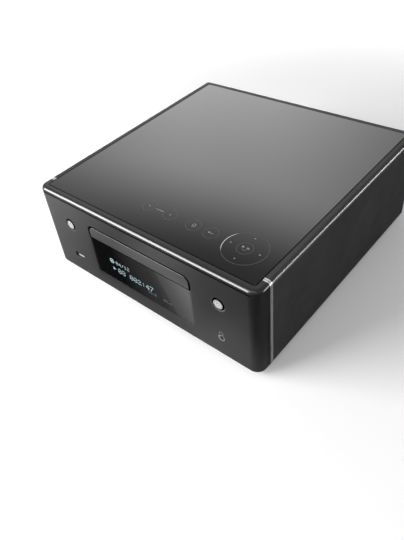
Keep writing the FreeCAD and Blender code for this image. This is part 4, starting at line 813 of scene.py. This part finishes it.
def make_touch_marks(materials):
    """Thin rings and plain control symbols on the top plate."""
    rings = bmesh.new()
    places = [(u, SMALL_RADIUS) for u in SMALL_MARKS] + [(DIAL_X, DIAL_RADIUS), (DIAL_X, SMALL_RADIUS)]
    for u, radius in places:
        add_ring(rings, (u, MARK_DEPTH), radius, LINE_WIDTH, on_top, MARK_LOW, MARK_HIGH)
    finish_piece(rings, "touch_rings", materials["touch"])
    symbols = bmesh.new()

    def draw(corners):
        add_prism(symbols, corners, on_top, MARK_LOW, MARK_HIGH)

    minus, plus = SMALL_MARKS[:2]
    draw(square(minus, MARK_DEPTH, SIGN_LENGTH, LINE_WIDTH))
    draw(square(plus, MARK_DEPTH, SIGN_LENGTH, LINE_WIDTH))
    draw(square(plus, MARK_DEPTH, LINE_WIDTH, SIGN_LENGTH))
    for step in range(STAIR_COUNT):
        growth = STAIR_GROWTH * step
        v = MARK_DEPTH - STAIR_DROP + growth / 2.0
        draw(square(STAIR_LEFT + STAIR_PITCH * step, v, STAIR_WIDTH, STAIR_HEIGHT + growth))
    u, radius, line, end = INPUT_RING
    add_ring(symbols, (u, MARK_DEPTH), radius, line, on_top, MARK_LOW, MARK_HIGH, -end, end)
    for u, behind, width, depth in TOUCH_BARS:
        draw(square(u, MARK_DEPTH + behind, width, depth))
    for u, behind, size, turn in TOUCH_ARROWS:
        draw(arrow(u, MARK_DEPTH + behind, size, turn))
    for turn in (0.0, 90.0, 180.0, 270.0):
        angle = math.radians(turn)
        u = DIAL_X + ARROW_REACH * math.cos(angle)
        v = MARK_DEPTH + ARROW_REACH * math.sin(angle)
        draw(arrow(u, v, DIAL_ARROW, turn))
    finish_piece(symbols, "touch_symbols", materials["symbol"])


# Five by seven dots of each figure, row by row from the top
FIGURES = {
    "0": "01110 10001 10011 10101 11001 10001 01110",
    "1": "00100 01100 00100 00100 00100 00100 01110",
    "2": "01110 10001 00001 00110 01000 10000 11111",
    "3": "01110 10001 00001 00110 00001 10001 01110",
    "4": "00010 00110 01010 10010 11111 00010 00010",
    "5": "11111 10000 11110 00001 00001 10001 01110",
    "6": "00110 01000 10000 11110 10001 10001 01110",
    "7": "11111 00001 00010 00100 01000 01000 01000",
    "8": "01110 10001 10001 01110 10001 10001 01110",
    "9": "01110 10001 10001 01111 00001 00010 01100",
    ":": "00000 00100 00100 00000 00100 00100 00000",
    "/": "00001 00010 00010 00100 01000 01000 10000",
    ".": "00000 00000 00000 00000 00000 01100 01100",
    " ": "00000 00000 00000 00000 00000 00000 00000",
}
FIGURE_WIDTH = 5

# Side of a dot as a share of the pitch
DOT_SHARE = 0.82


def write_dots(mesh, text, left, low, pitch, spot):
    """Figures as square dots on a surface."""
    side = pitch * DOT_SHARE
    for index, character in enumerate(text):
        rows = FIGURES[character].split()
        for row, dots in enumerate(rows):
            for column, dot in enumerate(dots):
                if dot == "1":
                    u = left + (index * (FIGURE_WIDTH + 1) + column + 0.5) * pitch
                    v = low + (len(rows) - row - 0.5) * pitch
                    add_prism(mesh, square(u, v, side, side), spot, MARK_LOW, MARK_HIGH)


# Display, in millimetres: texts with left edge, lower edge and pitch, then the arrow and the disc's sign
LARGE_FIGURES = (("08 002:47", -33.5, 31.6, 0.94), ("04/12", -34.5, 42.6, 0.66))
SMALL_FIGURES = (("16.0", 8.0, 27.9, 0.5), ("44.1", 28.6, 27.9, 0.5))
PLAY_ARROW = (-39.2, 35.0, 2.6, 0.0)
DISC_PLACE = (-40.2, 45.0)
DISC_RADII = (0.9, 2.6)
DISC_LINE = 0.9


def make_display(materials):
    """Lit figures on the display: track numbers and a time."""
    bright = bmesh.new()
    dim = bmesh.new()
    for mesh, texts in ((bright, LARGE_FIGURES), (dim, SMALL_FIGURES)):
        for text, left, low, pitch in texts:
            write_dots(mesh, text, left, low, pitch, on_window)
    add_prism(bright, arrow(*PLAY_ARROW), on_window, MARK_LOW, MARK_HIGH)
    for radius in DISC_RADII:
        add_ring(bright, DISC_PLACE, radius, DISC_LINE, on_window, MARK_LOW, MARK_HIGH)
    finish_piece(bright, "display_figures", materials["lit"])
    finish_piece(dim, "display_small_figures", materials["lit_dim"])


def on_rear(u, v, w):
    """Point on the rear panel, seen from behind: to the right, above the ground and proud of the panel."""
    return Vector((-u * MM, rear_y + w * MM, v * MM))


# Rear print, in millimetres: line and dots, frames round the sockets, and room for numbers above them
PRINT_LINE = 0.35
PRINT_PITCH = 0.42
PRINT_GAP = 6.0
FRAME_MARGIN = 2.5
NUMBER_RISE = 1.6
PHONO_COLUMNS = (-2.0, 14.0, 30.0)
OPTICAL_COLUMNS = (-30.0, -48.0)

# Signs over the knobs and the inlet, in millimetres: rise, length, line, and the wave's radius and line
REAR_SIGN_RISE = 3.0
REAR_SIGN_LENGTH = 2.4
REAR_SIGN_LINE = 0.5
WAVE_RADIUS = 1.1
WAVE_LINE = 0.45

# Sign over the network socket, in millimetres: rise, half the spread of its boxes, cross bar and legs
LINK_RISE = 4.0
LINK_SIDE = 2.2
LINK_HALF = 1.6
LINK_BOX = (1.5, 1.2)
LINK_BAR = 4.6
LINK_LEG = 1.0

# Sign beside the aerial socket, in millimetres: how far to the side and above, the mast, and the waves
MAST_SIDE = 11.0
MAST_RISE = 0.6
MAST_WIDTH = 0.45
MAST_HEIGHT = 2.8
MAST_WAVES = (1.4, 2.5)
MAST_WAVE_LINE = 0.4
MAST_WAVE_ENDS = ((-40.0, 40.0), (140.0, 220.0))


def make_rear_marks(materials):
    """Thin frames, plain numbers and generic signs over the rear sockets."""
    mesh = bmesh.new()

    def bar(u, v, width, height):
        add_prism(mesh, square(u, v, width, height), on_rear, MARK_LOW, MARK_HIGH)

    def arc(u, v, radius, line, start, stop):
        add_ring(mesh, (u, v), radius, line, on_rear, MARK_LOW, MARK_HIGH, start, stop)

    def frame_round(low, high):
        left = -high.x - FRAME_MARGIN
        right = -low.x + FRAME_MARGIN
        bottom = low.z - FRAME_MARGIN
        top = high.z + PRINT_GAP
        for v in (bottom, top):
            bar((left + right) / 2.0, v, right - left, PRINT_LINE)
        for u in (left, right):
            bar(u, (bottom + top) / 2.0, PRINT_LINE, top - bottom)

    def numbers(columns, heights):
        for index, (x, v) in enumerate(zip(columns, heights)):
            write_dots(mesh, str(index + 1), -x - FIGURE_WIDTH * PRINT_PITCH / 2.0, v, PRINT_PITCH, on_rear)

    low, high = (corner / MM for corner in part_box("phono_sockets"))
    frame_round(low, high)
    numbers(PHONO_COLUMNS, (high.z + NUMBER_RISE, high.z + NUMBER_RISE, PHONO_ROW_SPLIT))
    low, high = (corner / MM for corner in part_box("optical_inputs"))
    frame_round(low, high)
    numbers(OPTICAL_COLUMNS, (high.z + NUMBER_RISE, high.z + NUMBER_RISE))

    # Plus over each red knob, minus over each black one
    for name in ("speaker_knob_1", "speaker_knob_2", "speaker_knob_3", "speaker_knob_4"):
        u = -middle(name).x / MM
        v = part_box("speaker_terminals")[1].z / MM + REAR_SIGN_RISE
        bar(u, v, REAR_SIGN_LENGTH, REAR_SIGN_LINE)
        if NODE_MATERIALS[name] == "red":
            bar(u, v, REAR_SIGN_LINE, REAR_SIGN_LENGTH)

    # Alternating current over the inlet
    u = -middle("mains_inlet").x / MM
    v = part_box("mains_inlet")[1].z / MM + REAR_SIGN_RISE
    for side, start in ((-WAVE_RADIUS, 0.0), (WAVE_RADIUS, 180.0)):
        arc(u + side, v, WAVE_RADIUS, WAVE_LINE, start, start + 180.0)

    # Three linked boxes over the network socket
    u = -middle("network_socket").x / MM
    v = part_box("network_socket")[1].z / MM + LINK_RISE
    for side, rise in ((-LINK_SIDE, -LINK_HALF), (LINK_SIDE, -LINK_HALF), (0.0, LINK_HALF)):
        bar(u + side, v + rise, *LINK_BOX)
    bar(u, v, LINK_BAR, PRINT_LINE)
    for side, rise in ((-LINK_SIDE, -0.5), (LINK_SIDE, -0.5), (0.0, 0.5)):
        bar(u + side, v + rise * LINK_LEG, PRINT_LINE, LINK_LEG)

    # Mast with waves beside the aerial socket
    u = -middle("aerial_socket").x / MM - MAST_SIDE
    v = middle("aerial_socket").z / MM + MAST_RISE
    bar(u, v - MAST_RISE, MAST_WIDTH, MAST_HEIGHT)
    for start, stop in MAST_WAVE_ENDS:
        for radius in MAST_WAVES:
            arc(u, v, radius, MAST_WAVE_LINE, start, stop)
    finish_piece(mesh, "rear_marks", materials["print"])


# White tongue in the USB socket, in millimetres round the socket's centre
TONGUE_HALF_WIDTH = 5.6
TONGUE_LOW = -2.1
TONGUE_HIGH = 0.5
TONGUE_FRONT = 1.0
TONGUE_BACK = 9.0
TONGUE_CHAMFER = 0.3


def make_usb_tongue(materials):
    """Plastic tongue with chamfered edges over the socket's contact board."""
    socket = middle("usb_socket")
    mesh = bmesh.new()
    bmesh.ops.create_cube(mesh, size=1.0)
    size = Vector((2.0 * TONGUE_HALF_WIDTH, TONGUE_BACK - TONGUE_FRONT, TONGUE_HIGH - TONGUE_LOW)) * MM
    centre = Vector((socket.x, front_y + (TONGUE_BACK + TONGUE_FRONT) / 2.0 * MM,
                     socket.z + (TONGUE_HIGH + TONGUE_LOW) / 2.0 * MM))
    for corner in mesh.verts:
        corner.co = Vector([a * b for a, b in zip(corner.co, size)]) + centre
    bmesh.ops.bevel(mesh, geom=mesh.edges[:], offset=TONGUE_CHAMFER * MM, segments=2, affect="EDGES")
    finish_piece(mesh, "usb_tongue", materials["tongue"])


# Studio, in metres

# Floor: half its side, its colour, and its own light to the camera, from near the unit to far away
FLOOR_HALF = 6.0
FLOOR_COLOUR = 0.9
FLOOR_LIFT = (0.36, 1.0, 0.16, 0.9)

# World: dim room from the horizon up, and darker close to the horizon
WORLD_ROOM = (0.0, 0.9, 0.3, 0.22)
WORLD_HORIZON = (0.0, 0.3, 0.3, 1.0)

# Glows of the world: strength, azimuth, spread to the sides, heights between which they end, and slope
BACK_GLOW = 1.36
BACK_SHAPE = (129.0, (0.05, 0.5), (0.54, 0.69), 0.28)
SIDE_GLOW = 11.0
SIDE_SHAPE = (43.0, (0.2, 0.5), (0.1, 0.22), 0.0)

# Mirrored floor: fades given as the places they run between and the values at both
LEFT_FADE = (-0.28, -0.08, 0.48, 0.18)
RIGHT_FADE = (0.03, 0.13, 1.0, 0.15)
FRONT_FADE = (-0.5, -0.26, 0.2, 1.0)
CORNER_PLACE = (0.1, -0.15, 0.0)
CORNER_FADE = (0.02, 0.08, 0.24, 0.0)
FOOT_FADE = (-0.2, -0.16, 0.0, 0.07)

# Floor that the display window mirrors: lines round it, each a point and the way in
MIRRORED_SIDES = (
    ((-0.092, -0.1676), (0.5246, -0.8513)),
    ((0.0509, -0.1676), (-0.6914, 0.7224)),
    ((0.0, -0.1665), (0.0, -1.0)),
    ((0.0, -0.2035), (0.0, 1.0)),
)
SIDE_SOFTNESS = 0.002

# Card that lies in the mirrored floor: its edge, and tones from behind the edge to in front of it
CARD_POINT = (-0.0354, -0.1999)
CARD_NORMAL = (0.4516, -0.8922)
CARD_REACH = 0.06
CARD_TONES = ((0.0, 0.015), (0.22, 0.015), (0.36, 0.115), (0.45, 0.17), (0.497, 0.26), (0.503, 0.365),
              (0.56, 0.505), (0.66, 0.85))

# Brighter patch of floor that the front panel mirrors above the tray door
PATCH_PLACE = (-0.053, -0.238, 0.0)
PATCH_FADE = (0.0, 0.08, 0.36, 0.0)


def beyond(nodes, place, point, normal):
    """Distance of a place past a line on the floor."""
    offset = point[0] * normal[0] + point[1] * normal[1]
    return nodes.math("SUBTRACT", nodes.dot(place, (*normal, 0.0)), offset)


def floor_reflection(nodes):
    """Tone of the floor where gloss mirrors it: darker to the right, and a white card in front."""
    place = nodes.place()
    across = nodes.dot(place, ACROSS)
    ahead = nodes.dot(place, AHEAD)
    room = nodes.math("MULTIPLY", nodes.span(across, *LEFT_FADE), nodes.span(across, *RIGHT_FADE))
    room = nodes.math("MULTIPLY", room, nodes.span(ahead, *FRONT_FADE))
    corner = nodes.length(nodes.moved(place, CORNER_PLACE))
    room = nodes.math("ADD", room, nodes.span(corner, *CORNER_FADE))
    room = nodes.math("ADD", room, nodes.span(ahead, *FOOT_FADE))
    patch = nodes.length(nodes.moved(place, PATCH_PLACE))
    room = nodes.math("ADD", room, nodes.span(patch, *PATCH_FADE))
    inside = 1.0
    for point, normal in MIRRORED_SIDES:
        way = beyond(nodes, place, point, normal)
        inside = nodes.math("MULTIPLY", nodes.span(way, -SIDE_SOFTNESS, SIDE_SOFTNESS, 0.0, 1.0), inside)
    distance = beyond(nodes, place, CARD_POINT, CARD_NORMAL)
    card = nodes.steps(nodes.math("MULTIPLY_ADD", distance, 0.5 / CARD_REACH, 0.5), CARD_TONES)
    return nodes.math("ADD", room, nodes.math("MULTIPLY", inside, nodes.math("SUBTRACT", card, room)))


def make_floor():
    """Pale floor that reads as white to the camera and keeps the shadow."""
    data = bpy.data.meshes.new("floor")
    corners = [(u, v, 0.0) for u, v in square(0.0, 0.0, 2.0 * FLOOR_HALF, 2.0 * FLOOR_HALF)]
    data.from_pydata(corners, [], [(0, 1, 2, 3)])
    floor = bpy.data.objects.new("floor", data)
    bpy.context.scene.collection.objects.link(floor)
    material = bpy.data.materials.new("floor_white")
    material.use_nodes = True
    material.node_tree.nodes.clear()
    nodes = Nodes(material.node_tree)
    path = nodes.new("ShaderNodeLightPath")
    glossy = path.outputs["Is Glossy Ray"]
    tone = floor_reflection(nodes)
    share = nodes.math("MULTIPLY_ADD", glossy, nodes.math("SUBTRACT", tone, 1.0), 1.0)
    colour = nodes.math("MULTIPLY", share, FLOOR_COLOUR)
    diffuse = nodes.new("ShaderNodeBsdfDiffuse")
    nodes.join(colour, diffuse.inputs["Color"])
    glow = nodes.new("ShaderNodeEmission")
    lift = nodes.span(nodes.length(nodes.place()), *FLOOR_LIFT)
    nodes.join(nodes.math("MULTIPLY", path.outputs["Is Camera Ray"], lift), glow.inputs["Strength"])
    both = nodes.new("ShaderNodeAddShader")
    nodes.join(diffuse.outputs["BSDF"], both.inputs[0])
    nodes.join(glow.outputs["Emission"], both.inputs[1])
    output = nodes.new("ShaderNodeOutputMaterial")
    nodes.join(both.outputs["Shader"], output.inputs["Surface"])
    data.materials.append(material)


def glow_at(nodes, direction, azimuth, spread, heights, slope):
    """Soft patch of light in the world round one azimuth, up to a height that slopes sideways."""
    turn = math.radians(azimuth)
    side = (-math.sin(turn), math.cos(turn), 0.0)
    across = nodes.math("ABSOLUTE", nodes.dot(direction, side))
    ahead = nodes.dot(direction, (math.cos(turn), math.sin(turn), 0.0))
    height = nodes.dot(direction, (slope * side[0], slope * side[1], 1.0))
    patch = nodes.math("MULTIPLY", nodes.span(across, *spread, 1.0, 0.0),
                       nodes.span(height, *heights, 1.0, 0.0))
    return nodes.math("MULTIPLY", patch, nodes.span(ahead, 0.0, 0.1, 0.0, 1.0))


def make_world():
    """White to the camera, and to everything else a dim room with two soft glows."""
    world = bpy.data.worlds.new("studio")
    bpy.context.scene.world = world
    world.use_nodes = True
    nodes = Nodes(world.node_tree)
    background = world.node_tree.nodes["Background"]
    direction = nodes.new("ShaderNodeTexCoord").outputs["Generated"]
    height = nodes.dot(direction, UP)
    light = nodes.math("MULTIPLY", nodes.span(height, *WORLD_ROOM), nodes.span(height, *WORLD_HORIZON))
    for strength, shape in ((BACK_GLOW, BACK_SHAPE), (SIDE_GLOW, SIDE_SHAPE)):
        glow = nodes.math("MULTIPLY", glow_at(nodes, direction, *shape), strength)
        light = nodes.math("ADD", light, glow)
    camera = nodes.new("ShaderNodeLightPath").outputs["Is Camera Ray"]
    light = nodes.math("MULTIPLY", light, nodes.math("SUBTRACT", 1.0, camera))
    background.inputs["Color"].default_value = (1.0, 1.0, 1.0, 1.0)
    nodes.join(nodes.math("ADD", light, camera), background.inputs["Strength"])


def add_softbox(name, location, target, size, power):
    """Rectangular soft light that faces a target."""
    light = bpy.data.lights.new(name, "AREA")
    light.shape = "RECTANGLE"
    light.size, light.size_y = size
    light.energy = power
    lamp = bpy.data.objects.new(name, light)
    bpy.context.scene.collection.objects.link(lamp)
    lamp.location = location
    lamp.rotation_mode = "QUATERNION"
    lamp.rotation_quaternion = (Vector(target) - Vector(location)).to_track_quat("-Z", "Y")


# Soft lights, the key light at the left in front and the fill light above: place, target, size and power
SOFTBOXES = {
    "key_softbox": ((-0.96, -1.23, 0.76), (0.0, -0.15, 0.1), (1.25, 1.0), 45.0),
    "top_softbox": ((0.1, -0.9, 1.5), (0.0, -0.1, 0.1), (1.6, 0.5), 3.5),
}


def make_lights():
    """Key light and fill light."""
    for name, settings in SOFTBOXES.items():
        add_softbox(name, *settings)


# Camera, solved from the photograph's edges
CAMERA_PLACE = Vector((0.3103, -0.3852, 0.4092))
CAMERA_FORWARD = Vector((-0.5637, 0.5166, -0.6445))
CAMERA_RIGHT = Vector((0.741, 0.661, -0.1183))
CAMERA_SENSOR = 36.0
CAMERA_LENS = 36.02
CAMERA_SHIFT = (0.0506, -0.0450)
CAMERA_CLIP = (0.01, 50.0)


def make_camera():
    """Camera at the photograph's place, angle and framing."""
    data = bpy.data.cameras.new("camera")
    data.sensor_width = CAMERA_SENSOR
    data.lens = CAMERA_LENS
    data.shift_x, data.shift_y = CAMERA_SHIFT
    data.clip_start, data.clip_end = CAMERA_CLIP
    camera = bpy.data.objects.new("camera", data)
    bpy.context.scene.collection.objects.link(camera)
    forward = CAMERA_FORWARD.normalized()
    right = (CAMERA_RIGHT - forward * CAMERA_RIGHT.dot(forward)).normalized()
    up = right.cross(forward)
    turn = Matrix((right, up, -forward)).transposed()
    camera.matrix_world = Matrix.Translation(CAMERA_PLACE) @ turn.to_4x4()
    bpy.context.scene.camera = camera


def main():
    """Dress the frame, light it and set the camera."""
    materials = make_materials()
    finish_nodes(materials)
    make_touch_marks(materials)
    make_display(materials)
    make_rear_marks(materials)
    make_usb_tongue(materials)
    make_floor()
    make_world()
    make_lights()
    make_camera()
    bpy.context.scene.view_settings.view_transform = "Standard"


main()
